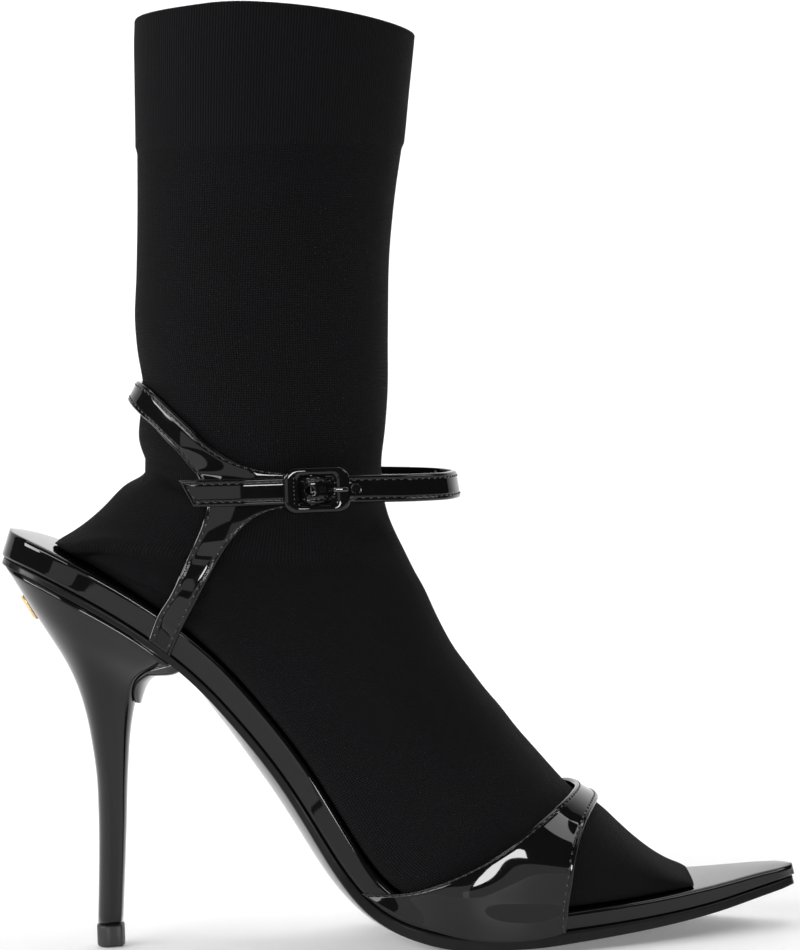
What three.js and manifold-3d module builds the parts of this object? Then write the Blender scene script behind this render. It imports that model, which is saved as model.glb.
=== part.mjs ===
// Sock boot: a stiletto sandal in patent leather whose upper is a black knit sock. One right shoe.
// Millimetres. Toe towards +X, inner side of the foot towards +Y, +Z up.
// The origin is the middle of the heel tip's ground face.

import * as THREE from 'three';
import { mergeVertices } from 'three/addons/utils/BufferGeometryUtils.js';
import Module from 'manifold-3d';

const wasm = await Module();
wasm.setup();

// Driving sizes of sole and heel
const footbedLength = 218;        // level length, back of the seat to the toe tip
const seatHeight = 110.5;         // ground to the footbed's underside at its back end
const tipSetback = 26.5;          // level, back of the seat to the middle of the heel tip
const toeSpring = 8.8;            // rise of the footbed from the ball to the toe tip
const ballWidth = 72;
const waistWidth = 41;
const seatWidth = 51;
const seatRound = 25;             // length of the round back end, along the footbed
const tipRound = 5;               // length of the rounding of the toe tip
const footbedThickness = 7.3;     // at the seat
const rimEdge = 1.1;              // rounding of the wrapped rim
const soleEdge = 3.5;             // outsole at its edge under the ball
const soleCrown = 4.2;            // extra depth of the outsole in the middle of the waist
const soleInset = 0.7;            // outsole edge inside the footbed rim
const lipThickness = 1.2;         // outsole lip on the heel breast
const heelInset = 0.9;            // heel top inside the outsole edge
const heelSeatLength = 46.5;      // level length of the heel top
const tipLength = 7;              // heel tip, front to back
const topPieceHeight = 6;
const clearance = 0.3;            // gap between pieces that touch
const lipClearance = 0.45;        // gap between the outsole's lip and the breast

// Driving sizes of the sock
const knitWall = 1.4;
const shaftDepth = 70;            // ankle, front to back
const shaftWidth = 56;            // ankle, side to side
const shaftHeight = 122;          // narrow of the ankle to the collar
const ankleRise = 21.5;           // narrow of the ankle above the seat
const shaftForward = 48.5;        // shaft axis ahead of the heel tip
const instepDepth = 82;           // footbed to the top of the foot, along the first foot section
const cuffHeight = 33;
const cuffStep = 0.5;             // how far the ribbed cuff stands proud of the plain knit
const collarLift = 6;             // sides of the collar above its front and back

// Driving sizes of the straps and the buckle
const strapThickness = 1.5;
const strapClearance = 0.5;       // gap between a strap and what it lies on
const strapEdge = 0.45;           // rounding of the folded edges
const ankleStrapWidth = 7.5;
const ankleStrapDrop = 5;         // middle of the ankle strap below the narrow of the ankle
const slingRise = 29;             // top of the heel sling above the middle of the ankle strap
const loopReach = 18.3;           // ankle strap ahead of the sock in front
const loopDroop = 1;              // the ankle strap hangs this much lower in front
const loopTilt = 8;               // degrees its face leans back in front
const tailLength = 35;            // buckle centre to the tip of the tail
const tailSlant = 4;              // how much further the tail's upper corner reaches
const sewnLength = 27;            // stretch of the ankle strap that is sewn to the inner quarter
const frameLength = 17.9;         // buckle, along the strap
const frameBar = 2.1;             // width of the long bars
const frameEndBar = 3.8;          // width of the end bars
const frameThickness = 1.8;
const frameCorner = 3.4;
const windowCorner = 1.3;
const centreBar = 0.9;
const centreBarSetback = 1.5;     // centre bar behind the middle of the buckle
const prongWidth = 1.3;
const prongThickness = 0.8;
const holeSpacing = 6.5;
const holeDiameter = 2.4;
const holeAhead = 4.2;            // buckle centre to the hole in use
const plateLength = 9;            // ornament on the back of the heel
const plateWidth = 3.4;
const plateThickness = 0.9;

const patentBlack = { color: 0x060606, roughness: 0.08, metalness: 0 };

// Small helpers

const mix = (a, b, share) => a + (b - a) * share;
const clamp = (value, low, high) => Math.min(high, Math.max(low, value));
const radians = (degrees) => degrees * Math.PI / 180;
const smooth = (share) => share * share * (3 - 2 * share);
const point = (x, y, z) => new THREE.Vector3(x, y, z);

// A smooth curve through one column of a table whose rows are sorted by their column "at".
// It never overshoots its rows, so equal rows give a level stretch.
function readCurve(rows, column) {
  const at = rows.map((row) => row.at);
  const value = rows.map((row) => row[column]);
  const last = rows.length - 1;
  const rise = (i) => (value[i + 1] - value[i]) / (at[i + 1] - at[i]);
  const slope = value.map((unused, i) => {
    if (i === 0) return rise(0);
    if (i === last) return rise(last - 1);
    const before = rise(i - 1);
    const after = rise(i);
    return before * after <= 0 ? 0 : 2 * before * after / (before + after);
  });
  return (where) => {
    const x = clamp(where, at[0], at[last]);
    let i = 0;
    while (i < last - 1 && x > at[i + 1]) i += 1;
    const span = at[i + 1] - at[i];
    const t = (x - at[i]) / span;
    const square = t * t;
    const cube = square * t;
    return value[i] * (2 * cube - 3 * square + 1) + slope[i] * span * (cube - 2 * square + t)
      + value[i + 1] * (3 * square - 2 * cube) + slope[i + 1] * span * (cube - square);
  };
}

function readTable(rows, columns) {
  const curves = {};
  for (const column of columns) curves[column] = readCurve(rows, column);
  return curves;
}

// Closed meshes from rings of points

// Triangles that close a ring by rungs between its two sides.
// "apex" rings start on their mirror line, "flat" rings start beside it.
function capFaces(start, count, kind) {
  const partner = (i) => (kind === 'apex' ? (count - i) % count : count - 1 - i);
  const faces = [];
  const rungs = kind === 'apex' ? count / 2 : count / 2 - 1;
  for (let i = 0; i < rungs; i += 1) {
    const a = start + i;
    const b = start + i + 1;
    const c = start + partner(i + 1);
    const d = start + partner(i);
    if (c !== b) faces.push([a, b, c]);
    if (d !== a) faces.push([a, c, d]);
  }
  return faces;
}

function sleeveFaces(start, ringCount, count) {
  const faces = [];
  for (let r = 0; r < ringCount - 1; r += 1) {
    for (let i = 0; i < count; i += 1) {
      const a = start + r * count + i;
      const b = start + r * count + (i + 1) % count;
      faces.push([a, a + count, b], [b, a + count, b + count]);
    }
  }
  return faces;
}

function flipped(faces) {
  return faces.map(([a, b, c]) => [a, c, b]);
}

function toGeometry(points, faces) {
  const volume = faces.reduce((sum, [a, b, c]) => (
    sum + points[a].dot(points[b].clone().cross(points[c]))), 0);
  const outward = volume > 0 ? faces : flipped(faces);
  const geometry = new THREE.BufferGeometry();
  geometry.setAttribute('position', new THREE.Float32BufferAttribute(points.flatMap((p) => [p.x, p.y, p.z]), 3));
  geometry.setIndex(outward.flat());
  return geometry;
}

// A solid between a first and a last ring, closed by a cap at each end
function loft(rings, kind = 'flat') {
  const count = rings[0].length;
  const faces = [
    ...sleeveFaces(0, rings.length, count),
    ...capFaces(0, count, kind),
    ...flipped(capFaces((rings.length - 1) * count, count, kind)),
  ];
  return toGeometry(rings.flat(), faces);
}

// A solid whose last ring joins its first one, such as a frame
function closedLoop(rings) {
  const count = rings[0].length;
  return toGeometry([...rings, rings[0]].flat(), sleeveFaces(0, rings.length + 1, count));
}

// A cup: outer rings and inner rings both run from the mouth to the closed end
function cup(outer, inner) {
  const count = outer[0].length;
  const mouthFirst = [...outer].reverse();
  const rings = [...mouthFirst, ...inner];
  const faces = [
    ...sleeveFaces(0, rings.length, count),
    ...capFaces(0, count, 'apex'),
    ...flipped(capFaces((rings.length - 1) * count, count, 'apex')),
  ];
  return toGeometry(rings.flat(), faces);
}

function toSolid(geometry) {
  const bare = geometry.clone();
  bare.deleteAttribute('normal');
  bare.deleteAttribute('uv');
  const merged = mergeVertices(bare, 1e-4);
  return new wasm.Manifold(new wasm.Mesh({
    numProp: 3,
    vertProperties: new Float32Array(merged.attributes.position.array),
    triVerts: new Uint32Array(merged.index.array),
  }));
}

function fromSolid(solid) {
  const mesh = solid.getMesh();
  const geometry = new THREE.BufferGeometry();
  geometry.setAttribute('position', new THREE.BufferAttribute(new Float32Array(mesh.vertProperties), 3));
  geometry.setIndex(Array.from(mesh.triVerts));
  return geometry;
}

// The last: the line between footbed and outsole, seen from the side

// up: share of the heel's rise, spring: share of the toe spring
const soleRows = [
  { at: 0.000, up: 1.000, spring: 0 },
  { at: 0.035, up: 0.974, spring: 0 },
  { at: 0.085, up: 0.923, spring: 0 },
  { at: 0.180, up: 0.799, spring: 0 },
  { at: 0.250, up: 0.676, spring: 0 },
  { at: 0.300, up: 0.558, spring: 0 },
  { at: 0.350, up: 0.420, spring: 0 },
  { at: 0.390, up: 0.285, spring: 0 },
  { at: 0.430, up: 0.147, spring: 0 },
  { at: 0.465, up: 0.070, spring: 0 },
  { at: 0.510, up: 0.024, spring: 0 },
  { at: 0.575, up: 0.000, spring: 0 },
  { at: 0.640, up: 0.000, spring: 0 },
  { at: 0.720, up: 0.000, spring: 0.10 },
  { at: 0.800, up: 0.000, spring: 0.22 },
  { at: 0.880, up: 0.000, spring: 0.42 },
  { at: 0.950, up: 0.000, spring: 0.74 },
  { at: 1.000, up: 0.000, spring: 1.00 },
];
const soleCurve = readTable(soleRows, ['up', 'spring']);

// edge and crown: shares of soleEdge and soleCrown, flat: share of the width that is flat underneath
const outsoleRows = [
  { at: 0.000, edge: 0.55, crown: 0.00, flat: 0.0 },
  { at: 0.215, edge: 0.55, crown: 0.00, flat: 0.0 },
  { at: 0.290, edge: 0.52, crown: 0.72, flat: 0.0 },
  { at: 0.350, edge: 0.52, crown: 1.00, flat: 0.0 },
  { at: 0.420, edge: 0.60, crown: 0.90, flat: 0.1 },
  { at: 0.480, edge: 0.80, crown: 0.60, flat: 0.3 },
  { at: 0.575, edge: 1.00, crown: 0.33, flat: 0.5 },
  { at: 0.640, edge: 1.00, crown: 0.33, flat: 0.5 },
  { at: 0.800, edge: 0.85, crown: 0.20, flat: 0.5 },
  { at: 1.000, edge: 0.60, crown: 0.05, flat: 0.5 },
];
const outsoleCurve = readTable(outsoleRows, ['edge', 'crown', 'flat']);
const ballCrown = 0.33 * soleCrown;
const ballLift = clearance + soleEdge + ballCrown;

// outer and inner: half widths to the outer and the inner side of the foot, as shares of the size named in "of"
const outlineRows = [
  { at: 0.00, of: seatWidth, outer: 0.490, inner: 0.490 },
  { at: 0.06, of: seatWidth, outer: 0.495, inner: 0.495 },
  { at: 0.12, of: seatWidth, outer: 0.500, inner: 0.500 },
  { at: 0.20, of: seatWidth, outer: 0.485, inner: 0.460 },
  { at: 0.28, of: waistWidth, outer: 0.555, inner: 0.490 },
  { at: 0.36, of: waistWidth, outer: 0.535, inner: 0.465 },
  { at: 0.42, of: ballWidth, outer: 0.345, inner: 0.295 },
  { at: 0.48, of: ballWidth, outer: 0.425, inner: 0.375 },
  { at: 0.54, of: ballWidth, outer: 0.492, inner: 0.445 },
  { at: 0.60, of: ballWidth, outer: 0.520, inner: 0.480 },
  { at: 0.66, of: ballWidth, outer: 0.510, inner: 0.482 },
  { at: 0.72, of: ballWidth, outer: 0.465, inner: 0.462 },
  { at: 0.78, of: ballWidth, outer: 0.396, inner: 0.425 },
  { at: 0.84, of: ballWidth, outer: 0.312, inner: 0.362 },
  { at: 0.90, of: ballWidth, outer: 0.215, inner: 0.280 },
  { at: 0.95, of: ballWidth, outer: 0.128, inner: 0.192 },
  { at: 1.00, of: ballWidth, outer: 0.050, inner: 0.105 },
];
const outlineCurve = readTable(
  outlineRows.map((row) => ({ at: row.at, outer: row.outer * row.of, inner: row.inner * row.of })),
  ['outer', 'inner'],
);

// thickness: share of footbedThickness, measured square to the line
const footbedRows = [
  { at: 0.00, thickness: 1.00 },
  { at: 0.20, thickness: 0.98 },
  { at: 0.35, thickness: 0.91 },
  { at: 0.45, thickness: 0.86 },
  { at: 0.55, thickness: 0.76 },
  { at: 0.65, thickness: 0.68 },
  { at: 0.85, thickness: 0.66 },
  { at: 0.95, thickness: 0.55 },
  { at: 1.00, thickness: 0.40 },
];
const footbedCurve = readTable(footbedRows, ['thickness']);

const backX = -tipSetback;
const soleX = (at) => backX + footbedLength * at;
const soleZ = (at) => ballLift + (seatHeight - ballLift) * soleCurve.up(at) + toeSpring * soleCurve.spring(at);

// The tangent and the normal of the line, in the side view
function soleFrame(at) {
  const step = 0.002;
  const from = clamp(at - step, 0, 1);
  const to = clamp(at + step, 0, 1);
  const run = soleX(to) - soleX(from);
  const rise = soleZ(to) - soleZ(from);
  const length = Math.hypot(run, rise);
  return { x: soleX(at), z: soleZ(at), tx: run / length, tz: rise / length, nx: -rise / length, nz: run / length };
}

// A point by its place along the line, its side offset and its height square to the line
function lastPoint(at, y, height) {
  const frame = soleFrame(at);
  return point(frame.x + frame.nx * height, y, frame.z + frame.nz * height);
}

// True length along the line, so that stations can be spaced by millimetres
const lengthSteps = 400;
const lengthTo = [0];
for (let i = 1; i <= lengthSteps; i += 1) {
  const a = (i - 1) / lengthSteps;
  const b = i / lengthSteps;
  lengthTo.push(lengthTo[i - 1] + Math.hypot(soleX(b) - soleX(a), soleZ(b) - soleZ(a)));
}
const lineLength = lengthTo[lengthSteps];

function lengthAt(at) {
  const place = clamp(at, 0, 1) * lengthSteps;
  const i = Math.min(Math.floor(place), lengthSteps - 1);
  return mix(lengthTo[i], lengthTo[i + 1], place - i);
}

function atLength(length) {
  let i = 0;
  while (i < lengthSteps - 1 && lengthTo[i + 1] < length) i += 1;
  return (i + (length - lengthTo[i]) / (lengthTo[i + 1] - lengthTo[i])) / lengthSteps;
}

// Half width of the footbed on one side: side -1 is the outer side, +1 the inner one
function halfWidth(at, side, inset = 0) {
  const full = (side < 0 ? outlineCurve.outer(at) : outlineCurve.inner(at)) - inset;
  const fromBack = clamp((lengthAt(at) - inset) / seatRound, 0, 1);
  const fromTip = clamp((lineLength - inset - lengthAt(at)) / tipRound, 0, 1);
  const back = Math.sqrt(1 - (1 - fromBack) ** 2);
  const tip = Math.sqrt(1 - (1 - fromTip) ** 2);
  return full * back * tip;
}

// Stations from end to end, closer together where the ends are round
function soleStations(inset) {
  const ends = [0.01, 0.06, 0.16, 0.32, 0.55, 0.8];
  const first = ends.map((share) => inset + share * seatRound);
  const last = ends.slice(0, 4).map((share) => lineLength - inset - share * tipRound).reverse();
  const bodyFrom = inset + seatRound;
  const bodyTo = lineLength - inset - tipRound * 0.7;
  const bodyCount = 32;
  const body = [];
  for (let i = 0; i <= bodyCount; i += 1) body.push(mix(bodyFrom, bodyTo, i / bodyCount));
  return [...first, ...body, ...last].map(atLength);
}

// Footbed: a board with a wrapped, rounded rim

const footbedTop = (at) => footbedThickness * footbedCurve.thickness(at);

function footbedRing(at) {
  const top = footbedTop(at);
  const outer = halfWidth(at, -1);
  const inner = halfWidth(at, 1);
  const edge = Math.min(rimEdge, outer * 0.5, inner * 0.5, top * 0.4);
  const soft = edge * 0.3;
  return [
    [-outer + edge, 0], [-outer + soft, soft], [-outer, edge], [-outer, top - edge],
    [-outer + soft, top - soft], [-outer + edge, top],
    [inner - edge, top], [inner - soft, top - soft], [inner, top - edge],
    [inner, edge], [inner - soft, soft], [inner - edge, 0],
  ].map(([y, height]) => lastPoint(at, y, height));
}

const footbedGeometry = loft(soleStations(0).map(footbedRing));

// Outsole: thin edge, crowned under the waist, flat under the ball, with a lip down the heel breast

const outsoleEdge = (at) => soleEdge * outsoleCurve.edge(at);

function outsoleDepth(at, share) {
  const flat = outsoleCurve.flat(at);
  const beyond = Math.max(0, (Math.abs(share) - flat) / (1 - flat));
  return outsoleEdge(at) + soleCrown * outsoleCurve.crown(at) * (1 - beyond * beyond);
}

function outsoleRing(at) {
  const outer = halfWidth(at, -1, soleInset);
  const inner = halfWidth(at, 1, soleInset);
  const under = [-1, -0.86, -0.5, 0, 0.5, 0.86, 1].map((share) => (
    [share * (share < 0 ? outer : inner), -clearance - outsoleDepth(at, share)]));
  return [[-outer, -clearance], ...under, [inner, -clearance], [0, -clearance]]
    .map(([y, height]) => lastPoint(at, y, height));
}

// Heel: a slim block from the seat to the top piece

const seatBackLength = soleInset + heelInset;
const seatBackAt = atLength(seatBackLength);
const seatFrontAt = seatBackAt + heelSeatLength / footbedLength;
const heelTopHeight = (at) => -2 * clearance - outsoleEdge(at);

const tipBack = point(-tipLength / 2, 0, topPieceHeight + clearance);
const tipFront = point(tipLength / 2, 0, topPieceHeight + clearance);
const seatBack = lastPoint(seatBackAt, 0, heelTopHeight(seatBackAt));
const seatFront = lastPoint(seatFrontAt, 0, heelTopHeight(seatFrontAt));

// Sections from the seat down to the tip. backOut, backUp, frontOut and frontUp: shares of the way from the tip
// to the seat. half: share of seatWidth. corner: width at the breast corners as a share of the half width.
// breast: how far the breast swells ahead of its corners, as a share of the section's depth.
const heelRows = [
  { at: 1, backOut: 0.775, backUp: 0.915, frontOut: 0.700, frontUp: 0.962, half: 0.415, corner: 0.86, breast: 0.05 },
  { at: 2, backOut: 0.530, backUp: 0.822, frontOut: 0.490, frontUp: 0.915, half: 0.325, corner: 0.78, breast: 0.09 },
  { at: 3, backOut: 0.300, backUp: 0.738, frontOut: 0.370, frontUp: 0.855, half: 0.247, corner: 0.70, breast: 0.13 },
  { at: 4, backOut: 0.142, backUp: 0.656, frontOut: 0.290, frontUp: 0.785, half: 0.190, corner: 0.66, breast: 0.16 },
  { at: 5, backOut: 0.042, backUp: 0.569, frontOut: 0.230, frontUp: 0.708, half: 0.155, corner: 0.64, breast: 0.17 },
  { at: 6, backOut: -0.013, backUp: 0.486, frontOut: 0.195, frontUp: 0.628, half: 0.132, corner: 0.64, breast: 0.17 },
  { at: 7, backOut: -0.055, backUp: 0.386, frontOut: 0.155, frontUp: 0.522, half: 0.114, corner: 0.66, breast: 0.15 },
  { at: 8, backOut: -0.055, backUp: 0.287, frontOut: 0.125, frontUp: 0.398, half: 0.102, corner: 0.70, breast: 0.13 },
  { at: 9, backOut: -0.035, backUp: 0.150, frontOut: 0.070, frontUp: 0.212, half: 0.093, corner: 0.74, breast: 0.10 },
  { at: 10, backOut: 0.000, backUp: 0.000, frontOut: 0.000, frontUp: 0.000, half: 0.088, corner: 0.78, breast: 0.08 },
];
const heelCurve = readTable(heelRows, ['backOut', 'backUp', 'frontOut', 'frontUp', 'half', 'corner', 'breast']);

const sidePlaces = [0, 0.02, 0.07, 0.16, 0.3, 0.48, 0.68, 0.86, 1];
const breastTurns = [30, 60, 90, 120, 150];

function backRound(share) {
  const near = clamp(share / 0.5, 0, 1);
  return Math.sqrt(1 - (1 - near) ** 2);
}

// Half width along a section, from its back to its breast corners
function heelSide(share, corner) {
  const towards = clamp((share - 0.35) / 0.65, 0, 1);
  return backRound(share) * mix(1, corner, smooth(towards));
}

function heelSection(at) {
  const back = point(
    mix(tipBack.x, seatBack.x, heelCurve.backOut(at)), 0, mix(tipBack.z, seatBack.z, heelCurve.backUp(at)));
  const front = point(
    mix(tipFront.x, seatFront.x, heelCurve.frontOut(at)), 0, mix(tipFront.z, seatFront.z, heelCurve.frontUp(at)));
  return {
    back, front, half: heelCurve.half(at) * seatWidth, corner: heelCurve.corner(at), breast: heelCurve.breast(at),
  };
}

// A point of the breast: turn 0 is the outer corner, 90 the middle and 180 the inner corner
function breastPoint(section, turn) {
  const swell = 1 - section.breast * (1 - Math.sin(radians(turn)));
  const place = section.back.clone().lerp(section.front, swell);
  place.y = -section.half * section.corner * Math.cos(radians(turn));
  return place;
}

function heelRing(at) {
  const section = heelSection(at);
  const cornerAt = 1 - section.breast;
  const onSide = (share, side) => {
    const place = section.back.clone().lerp(section.front, share * cornerAt);
    place.y = side * section.half * heelSide(share, section.corner);
    return place;
  };
  const outer = sidePlaces.map((share) => onSide(share, -1));
  const inner = sidePlaces.slice(1).map((share) => onSide(share, 1)).reverse();
  return [...outer, ...breastTurns.map((turn) => breastPoint(section, turn)), ...inner];
}

function heelTopRing() {
  const onSeat = (share, side) => {
    const at = mix(seatBackAt, seatFrontAt, share);
    return lastPoint(at, side * halfWidth(at, side, seatBackLength), heelTopHeight(at));
  };
  const outer = sidePlaces.map((share) => onSeat(share, -1));
  const inner = sidePlaces.slice(1).map((share) => onSeat(share, 1)).reverse();
  const breast = breastTurns.map((turn) => {
    const place = seatFront.clone();
    place.y = mix(outer.at(-1).y, inner[0].y, (1 - Math.cos(radians(turn))) / 2);
    return place;
  });
  return [...outer, ...breast, ...inner];
}

const heelGeometry = loft(
  [heelTopRing(), ...[1, 1.5, 2, 2.5, 3, 3.5, 4, 5, 6, 7, 8, 9, 10].map(heelRing)], 'apex');

// Top piece: the lift under the heel tip, a little wider than the stem

function topPieceRing(height, grow) {
  const section = heelSection(10);
  return heelRing(10).map((place) => {
    const centre = section.back.clone().lerp(section.front, 0.5);
    const out = place.clone().sub(centre);
    const reach = out.length();
    return point(out.x * (1 + grow / reach), out.y * (1 + grow / reach), height);
  });
}

const topPieceGeometry = loft([
  topPieceRing(topPieceHeight, 0.15), topPieceRing(topPieceHeight - 0.4, 0.35),
  topPieceRing(0.5, 0.35), topPieceRing(0, 0),
], 'apex');

// Lip of the outsole, on the breast, from the waist down
const lipRows = [
  { at: 0.0, wide: 0.93 },
  { at: 1.0, wide: 0.90 },
  { at: 2.0, wide: 0.84 },
  { at: 2.8, wide: 0.66 },
  { at: 3.3, wide: 0.34 },
];
const lipCurve = readTable(lipRows, ['wide']);

// Above the first heel section the lip follows the breast up to the seat
function lipSection(at) {
  const section = heelSection(at);
  if (at >= 1) return section;
  const share = 1 - at;
  section.front.lerp(seatFront, share);
  section.back.lerp(seatBack, share);
  section.half = mix(section.half, halfWidth(seatFrontAt, -1, seatBackLength), share);
  section.corner = mix(section.corner, 1, share);
  section.breast = mix(section.breast, 0, share);
  return section;
}

function lipRing(at) {
  const section = lipSection(at);
  const above = lipSection(Math.max(0, at - 0.1));
  const below = lipSection(at + 0.1);
  const along = above.front.clone().sub(below.front).normalize();
  const out = point(along.z, 0, -along.x);
  const wide = lipCurve.wide(at);
  const turns = [-1, -0.6, 0, 0.6, 1].map((share) => 90 + share * 90 * wide);
  const places = turns.map((turn) => breastPoint(section, turn));
  const face = (offset) => places.map((place) => place.clone().addScaledVector(out, offset));
  return [...face(lipClearance), ...face(lipClearance + lipThickness).reverse()];
}

const lipRings = [0, 0.35, 0.7, 1, 1.4, 1.8, 2.2, 2.6, 3, 3.3].map(lipRing);
const lipRoot = lipRings[0].map((place) => place.clone().add(point(1.8, 0, 0.9)));
const outsoleGeometry = fromSolid(
  toSolid(loft(soleStations(soleInset).map(outsoleRing))).add(toSolid(loft([lipRoot, ...lipRings]))));

// Sock: each section is a plane from a back or bottom point to a front or top point

const ankleZ = seatHeight + ankleRise;
const sockFloor = (at) => footbedTop(at) + clearance;

// Shaft sections. back and front: shares of shaftDepth from the shaft axis; backUp and frontUp: shares of
// shaftHeight above the narrow of the ankle; half: share of shaftWidth; lift: share of collarLift
const shaftRows = [
  { at: 0.00, back: 0.465, backUp: 1.000, front: 0.624, frontUp: 0.968, half: 0.530, lift: 1.0 },
  { at: 0.03, back: 0.470, backUp: 0.965, front: 0.612, frontUp: 0.915, half: 0.525, lift: 0.6 },
  { at: 0.08, back: 0.474, backUp: 0.860, front: 0.592, frontUp: 0.830, half: 0.515, lift: 0.0 },
  { at: 0.12, back: 0.478, backUp: 0.750, front: 0.572, frontUp: 0.740, half: 0.508, lift: 0.0 },
  { at: 0.16, back: 0.486, backUp: 0.600, front: 0.530, frontUp: 0.600, half: 0.500, lift: 0.0 },
  { at: 0.20, back: 0.500, backUp: 0.440, front: 0.500, frontUp: 0.450, half: 0.492, lift: 0.0 },
  { at: 0.23, back: 0.512, backUp: 0.345, front: 0.492, frontUp: 0.350, half: 0.485, lift: 0.0 },
  { at: 0.25, back: 0.503, backUp: 0.260, front: 0.486, frontUp: 0.260, half: 0.482, lift: 0.0 },
  { at: 0.27, back: 0.486, backUp: 0.200, front: 0.483, frontUp: 0.190, half: 0.482, lift: 0.0 },
  { at: 0.29, back: 0.506, backUp: 0.120, front: 0.471, frontUp: 0.110, half: 0.485, lift: 0.0 },
  { at: 0.31, back: 0.517, backUp: 0.072, front: 0.460, frontUp: 0.060, half: 0.486, lift: 0.0 },
  { at: 0.33, back: 0.490, backUp: 0.036, front: 0.450, frontUp: 0.028, half: 0.486, lift: 0.0 },
  { at: 0.35, back: 0.470, backUp: 0.004, front: 0.444, frontUp: 0.000, half: 0.486, lift: 0.0 },
];

// Heel sections, between the narrow of the ankle and the heel's end on the footbed. down and fall: shares of the
// straight way down the back and down the front; out: swell of the back, hollow: hollow of the front, as shares of
// ankleRise; half: share of shaftWidth
const turnRows = [
  { at: 0.37, down: 0.110, out: -0.005, fall: 0.110, hollow: 0.040, half: 0.488 },
  { at: 0.39, down: 0.200, out: 0.050, fall: 0.240, hollow: 0.080, half: 0.490 },
  { at: 0.42, down: 0.423, out: -0.028, fall: 0.436, hollow: 0.107, half: 0.490 },
  { at: 0.45, down: 0.640, out: -0.072, fall: 0.645, hollow: 0.080, half: 0.485 },
  { at: 0.48, down: 0.827, out: -0.071, fall: 0.824, hollow: 0.035, half: 0.478 },
  { at: 0.50, down: 0.952, out: -0.046, fall: 0.947, hollow: 0.012, half: 0.470 },
];

// Foot sections, standing on the footbed. along: place on the footbed; lean: degrees from square to it, towards the
// toe; deep: share of instepDepth; half: share of ballWidth; taper: narrowing towards the footbed; drift: shift to
// the inner side, as a share of ballWidth
const footRows = [
  { at: 0.51, along: 0.046, lean: 72.0, deep: 1.240, half: 0.360, taper: 0.00, drift: 0.000 },
  { at: 0.53, along: 0.090, lean: 67.5, deep: 1.150, half: 0.370, taper: 0.00, drift: 0.000 },
  { at: 0.56, along: 0.160, lean: 62.0, deep: 0.995, half: 0.385, taper: 0.04, drift: 0.000 },
  { at: 0.60, along: 0.240, lean: 49.0, deep: 0.820, half: 0.400, taper: 0.14, drift: -0.006 },
  { at: 0.64, along: 0.305, lean: 31.0, deep: 0.700, half: 0.415, taper: 0.22, drift: -0.017 },
  { at: 0.68, along: 0.360, lean: 11.5, deep: 0.640, half: 0.430, taper: 0.28, drift: -0.019 },
  { at: 0.72, along: 0.405, lean: -4.5, deep: 0.645, half: 0.445, taper: 0.25, drift: -0.022 },
  { at: 0.76, along: 0.450, lean: 0.5, deep: 0.655, half: 0.462, taper: 0.16, drift: -0.024 },
  { at: 0.80, along: 0.500, lean: 22.0, deep: 0.625, half: 0.470, taper: 0.02, drift: -0.022 },
  { at: 0.84, along: 0.560, lean: 32.0, deep: 0.550, half: 0.468, taper: 0.00, drift: -0.018 },
  { at: 0.88, along: 0.630, lean: 33.5, deep: 0.428, half: 0.450, taper: 0.00, drift: -0.010 },
  { at: 0.91, along: 0.690, lean: 33.5, deep: 0.340, half: 0.418, taper: 0.00, drift: -0.002 },
  { at: 0.94, along: 0.750, lean: 29.0, deep: 0.220, half: 0.370, taper: 0.00, drift: 0.008 },
  { at: 0.96, along: 0.800, lean: 24.5, deep: 0.125, half: 0.315, taper: 0.00, drift: 0.018 },
  { at: 0.98, along: 0.840, lean: 17.0, deep: 0.057, half: 0.262, taper: 0.00, drift: 0.028 },
  { at: 0.99, along: 0.860, lean: 11.0, deep: 0.030, half: 0.232, taper: 0.00, drift: 0.032 },
  { at: 1.00, along: 0.868, lean: 17.0, deep: 0.014, half: 0.200, taper: 0.00, drift: 0.034 },
];

// How round the section is in its front or top half and in its back or bottom half: 2 is an ellipse
const roundRows = [
  { at: 0.00, top: 2.3, bottom: 2.3 },
  { at: 0.35, top: 2.3, bottom: 2.2 },
  { at: 0.51, top: 2.2, bottom: 2.5 },
  { at: 0.56, top: 2.1, bottom: 3.8 },
  { at: 0.62, top: 2.1, bottom: 5.0 },
  { at: 0.84, top: 2.1, bottom: 5.0 },
  { at: 0.94, top: 2.2, bottom: 3.6 },
  { at: 1.00, top: 2.6, bottom: 3.0 },
];
const roundCurve = readTable(roundRows, ['top', 'bottom']);

function footSection(row) {
  const frame = soleFrame(row.along);
  const bottom = lastPoint(row.along, 0, sockFloor(row.along));
  const lean = radians(row.lean);
  const depth = row.deep * instepDepth;
  return {
    at: row.at,
    bx: bottom.x,
    bz: bottom.z,
    fx: bottom.x + (frame.nx * Math.cos(lean) + frame.tx * Math.sin(lean)) * depth,
    fz: bottom.z + (frame.nz * Math.cos(lean) + frame.tz * Math.sin(lean)) * depth,
    half: row.half * ballWidth,
    lift: 0,
    taper: row.taper,
    drift: row.drift * ballWidth,
  };
}

const shaftSections = shaftRows.map((row) => ({
  at: row.at,
  bx: shaftForward - row.back * shaftDepth,
  bz: ankleZ + row.backUp * shaftHeight,
  fx: shaftForward + row.front * shaftDepth,
  fz: ankleZ + row.frontUp * shaftHeight,
  half: row.half * shaftWidth,
  lift: row.lift * collarLift,
  taper: 0,
  drift: 0,
}));
const footSections = footRows.map(footSection);

// Place on the straight way from one point to another, set off to its left by a distance
function besideWay(fromX, fromZ, toX, toZ, share, off) {
  const length = Math.hypot(toX - fromX, toZ - fromZ);
  return {
    x: mix(fromX, toX, share) + (toZ - fromZ) / length * off,
    z: mix(fromZ, toZ, share) - (toX - fromX) / length * off,
  };
}

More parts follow.
